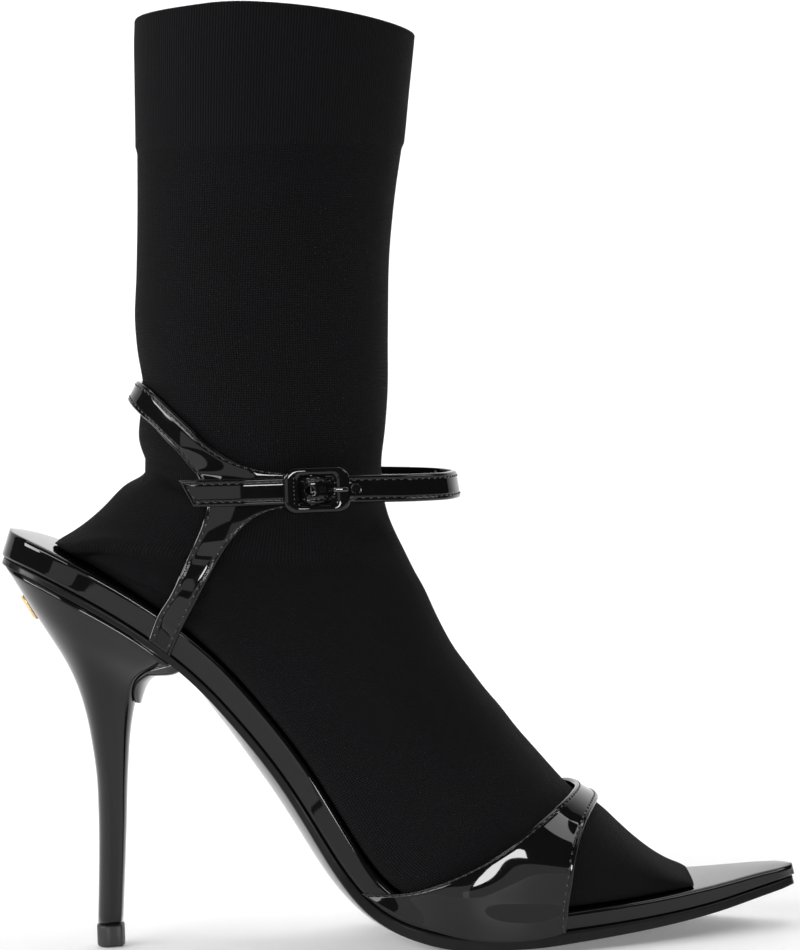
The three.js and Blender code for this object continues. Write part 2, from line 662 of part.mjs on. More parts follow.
const ankleSection = shaftSections.at(-1);
const heelSectionEnd = footSections[0];
const turnSections = turnRows.map((row) => {
  const back = besideWay(
    ankleSection.bx, ankleSection.bz, heelSectionEnd.bx, heelSectionEnd.bz, row.down, row.out * ankleRise);
  const front = besideWay(
    ankleSection.fx, ankleSection.fz, heelSectionEnd.fx, heelSectionEnd.fz, row.fall, row.hollow * ankleRise);
  return {
    at: row.at, bx: back.x, bz: back.z, fx: front.x, fz: front.z, half: row.half * shaftWidth, lift: 0, taper: 0,
    drift: 0,
  };
});
const sockSections = [...shaftSections, ...turnSections, ...footSections];
const sockCurve = readTable(sockSections, ['bx', 'bz', 'fx', 'fz', 'half', 'lift', 'taper', 'drift']);
const alongCurve = readCurve(footRows, 'along');

// Back or bottom point of a section: on the foot it rests on the footbed
function sockBottom(at) {
  if (at < footRows[0].at) return point(sockCurve.bx(at), 0, sockCurve.bz(at));
  const along = alongCurve(at);
  return lastPoint(along, 0, sockFloor(along));
}

function sockSection(at) {
  const bottom = sockBottom(at);
  const top = point(sockCurve.fx(at), 0, sockCurve.fz(at));
  const up = top.clone().sub(bottom);
  const span = up.length();
  return { at, bottom, span, up: up.divideScalar(span), middle: bottom.clone().lerp(top, 0.5) };
}

// A point of a section. u runs from -1 at its bottom to 1 at its top, v from 0 on the middle line to 1 at the
// outer side; gap is the distance outside the surface.
function sectionPoint(section, u, v, gap) {
  const { at, middle, up, span } = section;
  const narrow = 1 - sockCurve.taper(at) * (1 - u) / 2;
  const along = u * (span / 2 + gap);
  const lift = sockCurve.lift(at) * v * v;
  return point(
    middle.x + along * up.x - lift * up.z,
    -v * (sockCurve.half(at) * narrow + gap) + sockCurve.drift(at),
    middle.z + along * up.z + lift * up.x,
  );
}

// A point of the sock's plain outer surface. turn 0 is the front or top, 90 the outer side, 180 the back or bottom
// and -90 the inner side.
function sockPoint(at, turn, gap = 0) {
  const c = Math.cos(radians(turn));
  const s = Math.sin(radians(turn));
  const power = c > 0 ? roundCurve.top(at) : roundCurve.bottom(at);
  const reach = (Math.abs(c) ** power + Math.abs(s) ** power) ** (-1 / power);
  return sectionPoint(sockSection(at), c * reach, s * reach, gap);
}

const halvings = 30;

// Halves the span from low to high until it closes on the place where "before" turns false
function findPlace(low, high, before) {
  let from = low;
  let to = high;
  for (let i = 0; i < halvings; i += 1) {
    const middle = (from + to) / 2;
    if (before(middle)) from = middle;
    else to = middle;
  }
  return (from + to) / 2;
}

// The sock's surface at a turn and a height above the ground
function sockAround(turn, z, gap) {
  return sockPoint(findPlace(0, 1, (at) => sockPoint(at, turn, gap).z > z), turn, gap);
}

// The sock's surface at a place of the side view; side is -1 for the outer and 1 for the inner side
function sockBeside(x, z, side, gap) {
  const at = findPlace(0, 1, (place) => {
    const { bottom, up } = sockSection(place);
    return (x - bottom.x) * up.z - (z - bottom.z) * up.x > 0;
  });
  const section = sockSection(at);
  const along = (x - section.middle.x) * section.up.x + (z - section.middle.z) * section.up.z;
  const u = clamp(along / (section.span / 2 + gap), -1, 1);
  const power = u > 0 ? roundCurve.top(at) : roundCurve.bottom(at);
  return sectionPoint(section, u, -side * (1 - Math.abs(u) ** power) ** (1 / power), gap);
}

const cuffAt = readCurve(shaftRows.map((row) => ({ at: -row.backUp, place: row.at })), 'place')(
  -(shaftRows[0].backUp - cuffHeight / shaftHeight));
const cuffEase = 0.004;
const cuffGap = (at) => cuffStep * (1 - smooth(clamp((at - cuffAt + cuffEase) / (2 * cuffEase), 0, 1)));

const sockTurns = [];
for (let i = 0; i < 32; i += 1) sockTurns.push(i * 360 / 32);
const sockRing = (at, gap) => sockTurns.map((turn) => sockPoint(at, turn, gap));

const sockStations = [
  0, 0.03, cuffAt - cuffEase, cuffAt + cuffEase, 0.12, 0.16, 0.20, 0.23, 0.25, 0.27, 0.29, 0.31, 0.33, 0.35, 0.37,
  0.39, 0.42, 0.45, 0.48, 0.51, 0.53, 0.55, 0.57, 0.59, 0.61, 0.63, 0.65, 0.67, 0.69, 0.71, 0.73, 0.75, 0.77, 0.79,
  0.81, 0.83, 0.85, 0.865, 0.88, 0.895, 0.91, 0.93, 0.945, 0.96, 0.98, 0.99, 1,
];
const insideStations = [
  0, 0.08, 0.14, 0.20, 0.23, 0.25, 0.27, 0.29, 0.31, 0.33, 0.35, 0.39, 0.43, 0.47, 0.51, 0.56, 0.61, 0.66, 0.71,
  0.75, 0.79, 0.83, 0.87, 0.91, 0.94, 0.955,
];
const sockGeometry = cup(
  sockStations.map((at) => sockRing(at, cuffGap(at))),
  insideStations.map((at) => sockRing(at, -knitWall)),
);

// Straps: bands of folded leather. place(share, offset) gives a row's point at a share of the way across it and an
// offset from the band's inner face.

function bandRing(place, parts) {
  const soft = strapEdge / place(0, 0).distanceTo(place(1, 0));
  const middle = [];
  for (let i = 1; i < parts; i += 1) middle.push(i / parts);
  const shares = [0, Math.min(soft, 0.4 / parts), ...middle, Math.max(1 - soft, 1 - 0.4 / parts), 1];
  const lastShare = shares.length - 1;
  const inner = shares.map((share) => place(share, 0));
  const outer = shares.map((share, i) => (
    place(share, i === 0 || i === lastShare ? strapThickness - strapEdge : strapThickness)));
  return [...inner, ...outer.reverse()];
}

// The band's place on the side of the footbed's rim; height is a share of the rim's own height
function rimPlace(fromAlong, toAlong, height, side) {
  return (share, offset) => {
    const along = mix(fromAlong, toAlong, share);
    const y = side * (halfWidth(along, side) + strapClearance + offset);
    return lastPoint(along, y, height * footbedTop(along));
  };
}

// Vamp strap, from rim to rim over the ball
// turn: place round the sock; back and front: the two edges, as places along the sock; ease: how far the leather
// has left the line of the rim
const vampRows = [
  { turn: 128, back: 0.798, front: 0.914, ease: 0.35 },
  { turn: 116, back: 0.818, front: 0.911, ease: 0.70 },
  { turn: 101, back: 0.833, front: 0.907, ease: 1.00 },
  { turn: 88, back: 0.842, front: 0.903, ease: 1.00 },
  { turn: 75, back: 0.849, front: 0.900, ease: 1.00 },
  { turn: 62, back: 0.856, front: 0.898, ease: 1.00 },
  { turn: 48, back: 0.863, front: 0.898, ease: 1.00 },
  { turn: 34, back: 0.870, front: 0.900, ease: 1.00 },
  { turn: 18, back: 0.876, front: 0.903, ease: 1.00 },
  { turn: 0, back: 0.880, front: 0.906, ease: 1.00 },
];
// height: share of the rim's own height; back and front: the two edges, as places along the footbed
const vampFootRows = [
  { height: 0, back: 0.447, front: 0.697 },
  { height: 0.5, back: 0.459, front: 0.700 },
  { height: 1, back: 0.476, front: 0.702 },
];
const vampParts = 7;

function vampPlace(row, side) {
  const rimRow = vampFootRows.at(-1);
  const rimAt = (share) => mix(rimRow.back, rimRow.front, share);
  return (share, offset) => {
    const gap = strapClearance + offset;
    const place = sockPoint(mix(row.back, row.front, share), -side * row.turn, gap);
    const rim = halfWidth(rimAt(share), side) + gap;
    const reach = Math.abs(place.y);
    if (row.ease < 1) place.y = side * Math.max(reach, mix(rim, reach, row.ease));
    return place;
  };
}

const vampHalf = (side) => [
  ...vampFootRows.map((row) => rimPlace(row.back, row.front, row.height, side)),
  ...vampRows.map((row) => vampPlace(row, side)),
].map((place) => bandRing(place, vampParts));
const vampStrapGeometry = loft([...vampHalf(-1), ...vampHalf(1).reverse().slice(1)]);

// Quarter strap: up from the rim, forward to the buckle, and back as a sling round the heel

const ankleStrapZ = ankleZ - ankleStrapDrop;
const quarterFoot = { rearGroove: 0.191, frontGroove: 0.217, rearRim: 0.184, frontRim: 0.211 };
const quarterRise = ankleStrapZ - lastPoint(quarterFoot.rearRim, 0, footbedTop(quarterFoot.rearRim)).z;

// Rows from the rim to the sling, each from the rear or lower edge to the front or upper edge, seen from the side.
// Ahead: share of shaftDepth ahead of the shaft's axis; up: share of quarterRise above or below the ankle strap
const quarterRows = [
  { rearAhead: -0.386, rearUp: -0.850, frontAhead: -0.302, frontUp: -0.975 },
  { rearAhead: -0.350, rearUp: -0.695, frontAhead: -0.243, frontUp: -0.745 },
  { rearAhead: -0.316, rearUp: -0.540, frontAhead: -0.191, frontUp: -0.560 },
  { rearAhead: -0.286, rearUp: -0.420, frontAhead: -0.156, frontUp: -0.440 },
  { rearAhead: -0.262, rearUp: -0.320, frontAhead: -0.104, frontUp: -0.315 },
  { rearAhead: -0.246, rearUp: -0.235, frontAhead: -0.053, frontUp: -0.220 },
  { rearAhead: -0.237, rearUp: -0.155, frontAhead: -0.003, frontUp: -0.168 },
  { rearAhead: -0.235, rearUp: -0.090, frontAhead: 0.071, frontUp: -0.138 },
  { rearAhead: -0.237, rearUp: -0.045, frontAhead: 0.150, frontUp: -0.125 },
  { rearAhead: -0.240, rearUp: -0.008, frontAhead: 0.190, frontUp: -0.105 },
  { rearAhead: -0.244, rearUp: 0.026, frontAhead: 0.203, frontUp: 0.000 },
  { rearAhead: -0.250, rearUp: 0.060, frontAhead: 0.190, frontUp: 0.105 },
  { rearAhead: -0.257, rearUp: 0.093, frontAhead: 0.150, frontUp: 0.122 },
  { rearAhead: -0.266, rearUp: 0.132, frontAhead: 0.071, frontUp: 0.124 },
  { rearAhead: -0.277, rearUp: 0.178, frontAhead: -0.081, frontUp: 0.212 },
  { rearAhead: -0.299, rearUp: 0.240, frontAhead: -0.157, frontUp: 0.304 },
  { rearAhead: -0.321, rearUp: 0.302, frontAhead: -0.224, frontUp: 0.412 },
  { rearAhead: -0.350, rearUp: 0.376, frontAhead: -0.279, frontUp: 0.538 },
  { rearAhead: -0.393, rearUp: 0.465, frontAhead: -0.324, frontUp: 0.634 },
];

// Sling behind the heel. turn: place round the sock; low and high: share of slingRise above the ankle strap;
// lowGap and highGap: distance off the sock, as shares of strapThickness
const slingRows = [
  { turn: 141, low: 0.600, high: 0.885, lowGap: 0.20, highGap: 0.20 },
  { turn: 152, low: 0.700, high: 0.985, lowGap: 0.55, highGap: 0.20 },
  { turn: 166, low: 0.800, high: 1.030, lowGap: 1.40, highGap: 0.25 },
  { turn: 180, low: 0.848, high: 1.035, lowGap: 2.07, highGap: 0.33 },
];
const quarterParts = 4;

function quarterPlace(row, side) {
  return (share, offset) => sockBeside(
    shaftForward + mix(row.rearAhead, row.frontAhead, share) * shaftDepth,
    ankleStrapZ + mix(row.rearUp, row.frontUp, share) * quarterRise,
    side,
    strapClearance + offset,
  );
}

function slingPlace(row, side) {
  return (share, offset) => sockAround(
    -side * row.turn,
    ankleStrapZ + mix(row.low, row.high, share) * slingRise,
    mix(row.lowGap, row.highGap, share) * strapThickness + offset,
  );
}

const quarterHalf = (side) => [
  rimPlace(quarterFoot.rearGroove, quarterFoot.frontGroove, 0, side),
  rimPlace(quarterFoot.rearRim, quarterFoot.frontRim, 1, side),
  ...quarterRows.map((row) => quarterPlace(row, side)),
  ...slingRows.map((row) => slingPlace(row, side)),
].map((place) => bandRing(place, quarterParts));
const quarterSolid = toSolid(loft([...quarterHalf(-1), ...quarterHalf(1).reverse().slice(1)]));

// Ankle strap: a level band that starts on the inner quarter, stands off the sock in front, threads the buckle and
// ends in a loose tail. Its own places are s along the band, h up and n outwards. n is 0 on the quarter strap's face.

// ahead: how far the band stands off, as a share of loopReach
const loopRows = [
  { at: 0, ahead: 1.000 },
  { at: 15, ahead: 0.900 },
  { at: 30, ahead: 0.625 },
  { at: 45, ahead: 0.265 },
  { at: 60, ahead: 0.045 },
  { at: 75, ahead: 0.000 },
  { at: 150, ahead: 0.000 },
];
const loopCurve = readCurve(loopRows, 'ahead');
const buckleTurn = 64;
const loopEndTurn = 140;
const loopStep = 1;
const loopPath = [];
for (let turn = loopEndTurn; turn >= -loopEndTurn; turn -= loopStep) {
  const ahead = loopCurve(Math.abs(turn));
  const gap = strapClearance + strapThickness + loopReach * ahead;
  loopPath.push({ place: sockAround(turn, ankleStrapZ, gap), ahead });
}
const loopLength = [0];
for (let i = 1; i < loopPath.length; i += 1) {
  loopLength.push(loopLength[i - 1] + loopPath[i].place.distanceTo(loopPath[i - 1].place));
}
const buckleLength = loopLength[(loopEndTurn - buckleTurn) / loopStep];
const innerEnd = loopLength.at(-1) - buckleLength;

function loopMiddle(s) {
  const length = clamp(s + buckleLength, 0, loopLength.at(-1));
  let i = 0;
  while (i < loopLength.length - 2 && loopLength[i + 1] < length) i += 1;
  const share = (length - loopLength[i]) / (loopLength[i + 1] - loopLength[i]);
  const place = loopPath[i].place.clone().lerp(loopPath[i + 1].place, share);
  return { place, ahead: mix(loopPath[i].ahead, loopPath[i + 1].ahead, share) };
}

function loopPlace(s, h, n) {
  const reach = 1.5;
  const way = loopMiddle(s + reach).place.sub(loopMiddle(s - reach).place).normalize();
  const { place, ahead } = loopMiddle(s);
  const out = n - h * ahead * Math.tan(radians(loopTilt));
  return point(place.x + way.y * out, place.y - way.x * out, place.z + h - loopDroop * ahead);
}

// The band's inner face along the buckle. along: share of frameLength ahead of the buckle's middle; over: share of
// strapThickness above the quarter strap
const threadRows = [
  { at: -1.96, over: 0.36 },
  { at: -1.20, over: 0.24 },
  { at: -0.50, over: 0.24 },
  { at: -0.285, over: 0.24 },
  { at: -0.20, over: 0.90 },
  { at: -0.11, over: 1.80 },
  { at: -0.03, over: 1.88 },
  { at: 0.06, over: 1.30 },
  { at: 0.15, over: 0.66 },
  { at: 0.25, over: 0.25 },
  { at: 0.50, over: 0.24 },
  { at: 1.20, over: 0.20 },
  { at: 2.20, over: 0.00 },
  { at: 4.50, over: -0.45 },
  { at: 9.00, over: -0.45 },
];
const threadCurve = readCurve(threadRows, 'over');
const bandFace = (s) => threadCurve(s / frameLength) * strapThickness;
const lyingOver = threadRows.find((row) => row.at === 0.50).over;
const frameFloor = strapThickness * (1 + lyingOver) + clearance;
const onInnerFront = (place) => place.y < 0 || place.x > shaftForward;
const sewnTo = findPlace(0, innerEnd, (s) => onInnerFront(loopMiddle(s).place)) + sewnLength / 2;

const anklePlaces = [];
const tailSteps = 8;
for (let i = 0; i <= tailSteps; i += 1) anklePlaces.push(mix(-tailLength, -frameLength / 2, i / tailSteps));
const threadSteps = 12;
for (let i = 1; i <= threadSteps; i += 1) anklePlaces.push(mix(-frameLength / 2, frameLength / 2, i / threadSteps));
const loopSteps = 26;
for (let i = 1; i <= loopSteps; i += 1) anklePlaces.push(mix(frameLength / 2, sewnTo, i / loopSteps));

// The tail's end is cut on a slant: its upper corner reaches further
function ankleRing(s) {
  const slant = tailSlant * clamp((-frameLength / 2 - s) / (tailLength - frameLength / 2), 0, 1) ** 2;
  return bandRing((share, offset) => {
    const h = (share - 0.5) * ankleStrapWidth;
    const place = s - slant * (share - 0.5);
    return loopPlace(place, h, bandFace(place) + offset);
  }, 2);
}

// A straight pin through the band at a place s, to cut a hole
function holePin(s) {
  const sides = 10;
  const ring = (n) => {
    const places = [];
    for (let i = 0; i < sides; i += 1) {
      const turn = 360 * i / sides;
      places.push(loopPlace(
        s + holeDiameter / 2 * Math.cos(radians(turn)), holeDiameter / 2 * Math.sin(radians(turn)), n));
    }
    return places;
  };
  return toSolid(loft([ring(bandFace(s) - strapThickness), ring(bandFace(s) + 2 * strapThickness)], 'apex'));
}

let ankleSolid = toSolid(loft(anklePlaces.map(ankleRing)));
for (const step of [-1, 0, 1]) ankleSolid = ankleSolid.subtract(holePin(holeAhead + step * holeSpacing));
const quarterStrapGeometry = fromSolid(quarterSolid.add(ankleSolid));

// Buckle: a covered frame, thicker than it looks from the side, with a thin centre bar

const frameHeight = ankleStrapWidth + 2 * clearance + 2 * frameBar;
const roundedCorners = [[1, 1], [-1, 1], [-1, -1], [1, -1]];
const cornerParts = 4;

// A rounded rectangle as a list of places [s, h]; the corners have the same number of points at any size
function roundedFrame(length, height, corner) {
  const places = [];
  roundedCorners.forEach(([sSide, hSide], quadrant) => {
    for (let i = 0; i <= cornerParts; i += 1) {
      const turn = radians(90 * (quadrant + i / cornerParts));
      places.push([
        sSide * (length / 2 - corner) + corner * Math.cos(turn),
        hSide * (height / 2 - corner) + corner * Math.sin(turn),
      ]);
    }
  });
  return places;
}

const frameOutside = roundedFrame(frameLength, frameHeight, frameCorner);
const frameWindow = roundedFrame(frameLength - 2 * frameEndBar, frameHeight - 2 * frameBar, windowCorner);

// The frame's section from the outside to the window: share of the bar's width, share of its thickness
const frameSection = [
  [0, 0.25], [0, 0.65], [0.18, 0.92], [0.5, 1], [0.82, 0.92], [1, 0.65], [1, 0.25], [0.85, 0], [0.15, 0],
];
const frameRings = frameOutside.map(([s, h], i) => {
  const [windowS, windowH] = frameWindow[i];
  return frameSection.map(([across, up]) => (
    loopPlace(mix(s, windowS, across), mix(h, windowH, across), frameFloor + up * frameThickness)));
});

// A small oval section square to the strap, around a place s and n
function pinRing(s, n, wide, high, h, sides = 8) {
  const places = [];
  for (let i = 0; i < sides; i += 1) {
    const turn = radians(360 * i / sides);
    places.push(loopPlace(s + wide / 2 * Math.cos(turn), h, n + high / 2 * Math.sin(turn)));
  }
  return places;
}

const barRing = (h) => pinRing(-centreBarSetback, frameFloor, centreBar, centreBar, h);
const barReach = (frameHeight - frameBar) / 2;
const buckleGeometry = fromSolid(
  toSolid(closedLoop(frameRings)).add(toSolid(loft([barRing(-barReach), barRing(barReach)], 'apex'))));

// Prong: from the centre bar under the band, up through the hole in use and over the front bar
// s: along the band; n: outwards, above the quarter strap
const prongTop = frameFloor + frameThickness + clearance + prongThickness / 2;
const prongRows = [
  { s: -centreBarSetback + centreBar / 2 + clearance, n: frameFloor - clearance },
  { s: 0.6, n: 1.15 },
  { s: holeAhead - 2.0, n: 0.35 },
  { s: holeAhead - 0.9, n: 0.05 },
  { s: holeAhead - 0.15, n: 0.45 },
  { s: holeAhead + 0.02, n: 2.4 },
  { s: holeAhead + 0.1, n: 3.6 },
  { s: holeAhead + 0.55, n: prongTop - 0.1 },
  { s: holeAhead + 1.4, n: prongTop },
  { s: holeAhead + 3.4, n: prongTop },
  { s: holeAhead + 4.3, n: prongTop - 0.15 },
];

function prongRing(row, i) {
  const before = prongRows[Math.max(i - 1, 0)];
  const after = prongRows[Math.min(i + 1, prongRows.length - 1)];
  const length = Math.hypot(after.s - before.s, after.n - before.n);
  const outS = -(after.n - before.n) / length;
  const outN = (after.s - before.s) / length;
  const narrow = i === prongRows.length - 1 ? 0.6 : 1;
  const corners = [[-1, -0.6], [-0.6, -1], [0.6, -1], [1, -0.6], [1, 0.6], [0.6, 1], [-0.6, 1], [-1, 0.6]];
  return corners.map(([across, up]) => {
    const off = up * narrow * prongThickness / 2;
    return loopPlace(row.s + outS * off, across * narrow * prongWidth / 2, row.n + outN * off);
  });
}

const prongGeometry = loft(prongRows.map(prongRing), 'flat');

// Ornament: a small plain plate, curved on the back of the heel
const plateAt = 1.3;              // its middle, as a place down the heel
const plateSteps = 8;
const plateAcross = [-1, -0.6, 0, 0.6, 1];
const plateRimShare = 0.4;        // thickness at its rim

function plateRing(share) {
  const step = 0.2;
  const middle = heelSection(plateAt).back;
  const lower = heelSection(plateAt + step).back;
  const out = point(lower.z - middle.z, 0, middle.x - lower.x).normalize();
  const here = heelSection(plateAt + (share - 0.5) * plateLength / middle.distanceTo(lower) * step);
  const half = plateWidth / 2 * Math.sqrt(Math.max(0.05, 1 - (2 * share - 1) ** 4));
  const onBack = (across, offset) => {
    const y = across * half;
    const round = 0.5 * (1 - Math.sqrt(1 - (y / here.half) ** 2)) * (1 - here.breast);
    const place = here.back.clone().lerp(here.front, round);
    place.y = y;
    return place.addScaledVector(out, clearance + offset);
  };
  const thickness = (across) => plateThickness * (Math.abs(across) === 1 ? plateRimShare : 1);
  return [
    ...plateAcross.map((across) => onBack(across, 0)),
    ...plateAcross.map((across) => onBack(across, thickness(across))).reverse(),
  ];
}

const plateRings = [];
for (let i = 0; i <= plateSteps; i += 1) plateRings.push(plateRing(i / plateSteps));
const plateGeometry = loft(plateRings);

const shoe = new THREE.Group();

function add(name, geometry, look) {
  const mesh = new THREE.Mesh(geometry, new THREE.MeshStandardMaterial(look));
  mesh.name = name;
  shoe.add(mesh);
}

add('outsole', outsoleGeometry, { color: 0x0a0a0a, roughness: 0.35, metalness: 0 });
add('footbed', footbedGeometry, patentBlack);
add('heel', heelGeometry, { color: 0x070707, roughness: 0.12, metalness: 0 });
add('top_piece', topPieceGeometry, { color: 0x0b0b0b, roughness: 0.5, metalness: 0 });
add('sock', sockGeometry, { color: 0x0d0d0f, roughness: 0.95, metalness: 0 });
add('vamp_strap', vampStrapGeometry, patentBlack);
add('quarter_and_ankle_strap', quarterStrapGeometry, patentBlack);
add('buckle_frame', buckleGeometry, patentBlack);
add('buckle_prong', prongGeometry, { color: 0x101010, roughness: 0.15, metalness: 0.3 });
add('heel_plate', plateGeometry, { color: 0xc9a25c, roughness: 0.2, metalness: 1 });

export default shoe;
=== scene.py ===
import math

import bpy
import numpy as np
from mathutils import Matrix, Vector

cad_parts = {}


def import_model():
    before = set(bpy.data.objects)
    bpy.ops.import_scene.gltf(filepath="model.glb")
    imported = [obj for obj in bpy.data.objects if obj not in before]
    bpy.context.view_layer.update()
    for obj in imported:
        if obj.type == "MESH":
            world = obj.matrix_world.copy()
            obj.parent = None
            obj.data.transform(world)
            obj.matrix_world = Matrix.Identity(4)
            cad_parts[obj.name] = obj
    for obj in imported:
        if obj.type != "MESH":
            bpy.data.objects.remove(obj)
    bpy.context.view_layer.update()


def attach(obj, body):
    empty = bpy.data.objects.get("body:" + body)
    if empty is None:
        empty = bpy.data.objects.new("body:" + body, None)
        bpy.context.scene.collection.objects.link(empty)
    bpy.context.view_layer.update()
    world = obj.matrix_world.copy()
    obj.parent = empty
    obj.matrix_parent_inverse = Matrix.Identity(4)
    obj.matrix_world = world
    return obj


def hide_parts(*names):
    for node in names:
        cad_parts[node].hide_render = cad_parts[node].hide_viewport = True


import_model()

# Sock boot: the looks. Tables are in millimetres and match the solids; meshes are made in metres.
MM = 0.001

# Driving sizes, the same as the solids have
FOOTBED_LENGTH, SEAT_HEIGHT, TIP_SETBACK, TOE_SPRING = 218, 110.5, 26.5, 8.8
BALL_WIDTH, WAIST_WIDTH, SEAT_WIDTH = 72, 41, 51
SEAT_ROUND, TIP_ROUND = 25, 5
FOOTBED_THICKNESS, RIM_EDGE, RIM_UNDERCUT = 7.3, 1.1, 0.5
SOLE_EDGE, SOLE_CROWN, SOLE_INSET, LIP_THICKNESS = 3.5, 4.2, 0.7, 1.2
HEEL_INSET, HEEL_SEAT_LENGTH, TIP_LENGTH, TOP_PIECE_HEIGHT = 0.9, 46.5, 7, 6
GAP, LIP_GAP = 0.3, 0.45
KNIT_WALL, SHAFT_DEPTH, SHAFT_WIDTH, SHAFT_HEIGHT = 1.4, 70, 56, 122
ANKLE_RISE, SHAFT_FORWARD, INSTEP_DEPTH = 21.5, 48.5, 82
CUFF_HEIGHT, CUFF_STEP, COLLAR_LIFT = 33, 0.5, 6
STRAP, STRAP_GAP, ANKLE_STRAP_WIDTH, ANKLE_STRAP_DROP = 1.5, 0.5, 7.5, 5
SLING_RISE, LOOP_REACH, LOOP_DROOP, LOOP_TILT = 29, 18.3, 1, 8
TAIL_LENGTH, TAIL_SLANT, SEWN_LENGTH = 35, 4, 27
FRAME_LENGTH, FRAME_BAR, FRAME_END_BAR, FRAME_THICKNESS = 17.9, 2.1, 3.8, 1.8
FRAME_CORNER, WINDOW_CORNER, CENTRE_BAR, BAR_SETBACK = 3.4, 1.3, 0.9, 1.5
PRONG_WIDTH, PRONG_THICKNESS = 1.3, 0.8
HOLE_SPACING, HOLE_DIAMETER, HOLE_AHEAD = 6.5, 2.4, 4.2
PLATE_LENGTH, PLATE_WIDTH, PLATE_THICKNESS, PLATE_AT = 9, 3.4, 0.9, 1.3


# ---- Small helpers ----

def mix(a, b, share):
    return a + (b - a) * share


def smooth(share):
    return share * share * (3 - 2 * share)


def read_curve(at, value):
    """A smooth curve through table values that never overshoots them."""
    at = np.asarray(at, float)
    value = np.asarray(value, float)
    rise = np.diff(value) / np.diff(at)
    slope = np.empty_like(value)
    slope[0], slope[-1] = rise[0], rise[-1]
    both = rise[:-1] * rise[1:]
    total = rise[:-1] + rise[1:]
    slope[1:-1] = np.where(both <= 0, 0, 2 * both / np.where(total == 0, 1, total))

    def read(where):
        x = np.clip(where, at[0], at[-1])
        i = np.clip(np.searchsorted(at, x, side="left") - 1, 0, len(at) - 2)
        span = at[i + 1] - at[i]
        t = (x - at[i]) / span
        return (value[i] * (2 * t**3 - 3 * t**2 + 1) + slope[i] * span * (t**3 - 2 * t**2 + t)
                + value[i + 1] * (3 * t**2 - 2 * t**3) + slope[i + 1] * span * (t**3 - t**2))
    return read


def read_table(rows):
    """Curves for each column of a table whose first column is the place."""
    columns = np.array(rows, float).T
    return [read_curve(columns[0], column) for column in columns[1:]]


def points(x, y, z):
    x, y, z = np.broadcast_arrays(x, y, z)
    return np.stack([x, y, z], axis=-1).astype(float)


def unit(v):
    return v / np.maximum(np.linalg.norm(v, axis=-1, keepdims=True), 1e-9)


def resample(rows, count=None, step=None):
    """Rows of points, respaced evenly along a smooth curve through them."""
    rows = np.asarray(rows, float)
    leap = np.linalg.norm(np.diff(rows, axis=0), axis=-1)
    if leap.ndim > 1:
        leap = leap.mean(axis=tuple(range(1, leap.ndim)))
    at = np.concatenate([[0], np.cumsum(np.maximum(leap, 1e-6))])
    if count is None:
        count = max(2, int(round(at[-1] / step)) + 1)
    span = np.diff(at)
    shape = (-1,) + (1,) * (rows.ndim - 1)
    rise = np.diff(rows, axis=0) / span.reshape(shape)
    slope = np.empty_like(rows)
    slope[0], slope[-1] = rise[0], rise[-1]
    before, after = span[:-1].reshape(shape), span[1:].reshape(shape)
    slope[1:-1] = (rise[:-1] * after + rise[1:] * before) / (before + after)
    x = np.linspace(0, at[-1], count)
    i = np.clip(np.searchsorted(at, x, side="right") - 1, 0, len(at) - 2)
    width = span[i].reshape(shape)
    t = ((x - at[i]) / span[i]).reshape(shape)
    return (rows[i] * (2 * t**3 - 3 * t**2 + 1) + slope[i] * width * (t**3 - 2 * t**2 + t)
            + rows[i + 1] * (3 * t**2 - 2 * t**3) + slope[i + 1] * width * (t**3 - t**2))


def soften(values, passes, closed=False):
    """Evens out small kinks along the first axis; the ends stay."""
    values = np.array(values, float)
    for _ in range(passes):
        if closed:
            values = (np.roll(values, 1, 0) + 2 * values + np.roll(values, -1, 0)) / 4
        else:
            values[1:-1] = (values[:-2] + 2 * values[1:-1] + values[2:]) / 4
    return values


# ---- Meshes ----

def build(name, verts, faces, looks, slot, replaces=(), uv=None, face_look=None):
    mesh = bpy.data.meshes.new(name)
    mesh.from_pydata((np.asarray(verts) * MM).tolist(), [], faces)
    looks = looks if isinstance(looks, list) else [looks]
    for look in looks:
        mesh.materials.append(look)
    mesh.polygons.foreach_set("use_smooth", [True] * len(mesh.polygons))
    if face_look is not None:
        mesh.polygons.foreach_set("material_index", np.asarray(face_look, np.int32))
    if uv is not None:
        layer = mesh.uv_layers.new(name="knit")
        loop_verts = np.empty(len(mesh.loops), np.int32)
        mesh.loops.foreach_get("vertex_index", loop_verts)
        layer.data.foreach_set("uv", np.asarray(uv, np.float32)[loop_verts].ravel())
    mesh.update()
    piece = bpy.data.objects.new(name, mesh)
    bpy.context.scene.collection.objects.link(piece)
    outward(piece)
    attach(piece, "root")
    if replaces:
        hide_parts(*replaces)
    return piece


def outward(piece):
    """Turns the faces of a closed mesh outward."""
    mesh = piece.data
    mesh.calc_loop_triangles()
    count = len(mesh.loop_triangles)
    corners = np.empty(count * 3, np.int32)
    mesh.loop_triangles.foreach_get("vertices", corners)
    co = np.empty(len(mesh.vertices) * 3)
    mesh.vertices.foreach_get("co", co)
    co = co.reshape(-1, 3)[corners.reshape(-1, 3)]
    volume = np.einsum("ij,ij->i", co[:, 0], np.cross(co[:, 1], co[:, 2])).sum()
    if volume < 0:
        mesh.flip_normals()


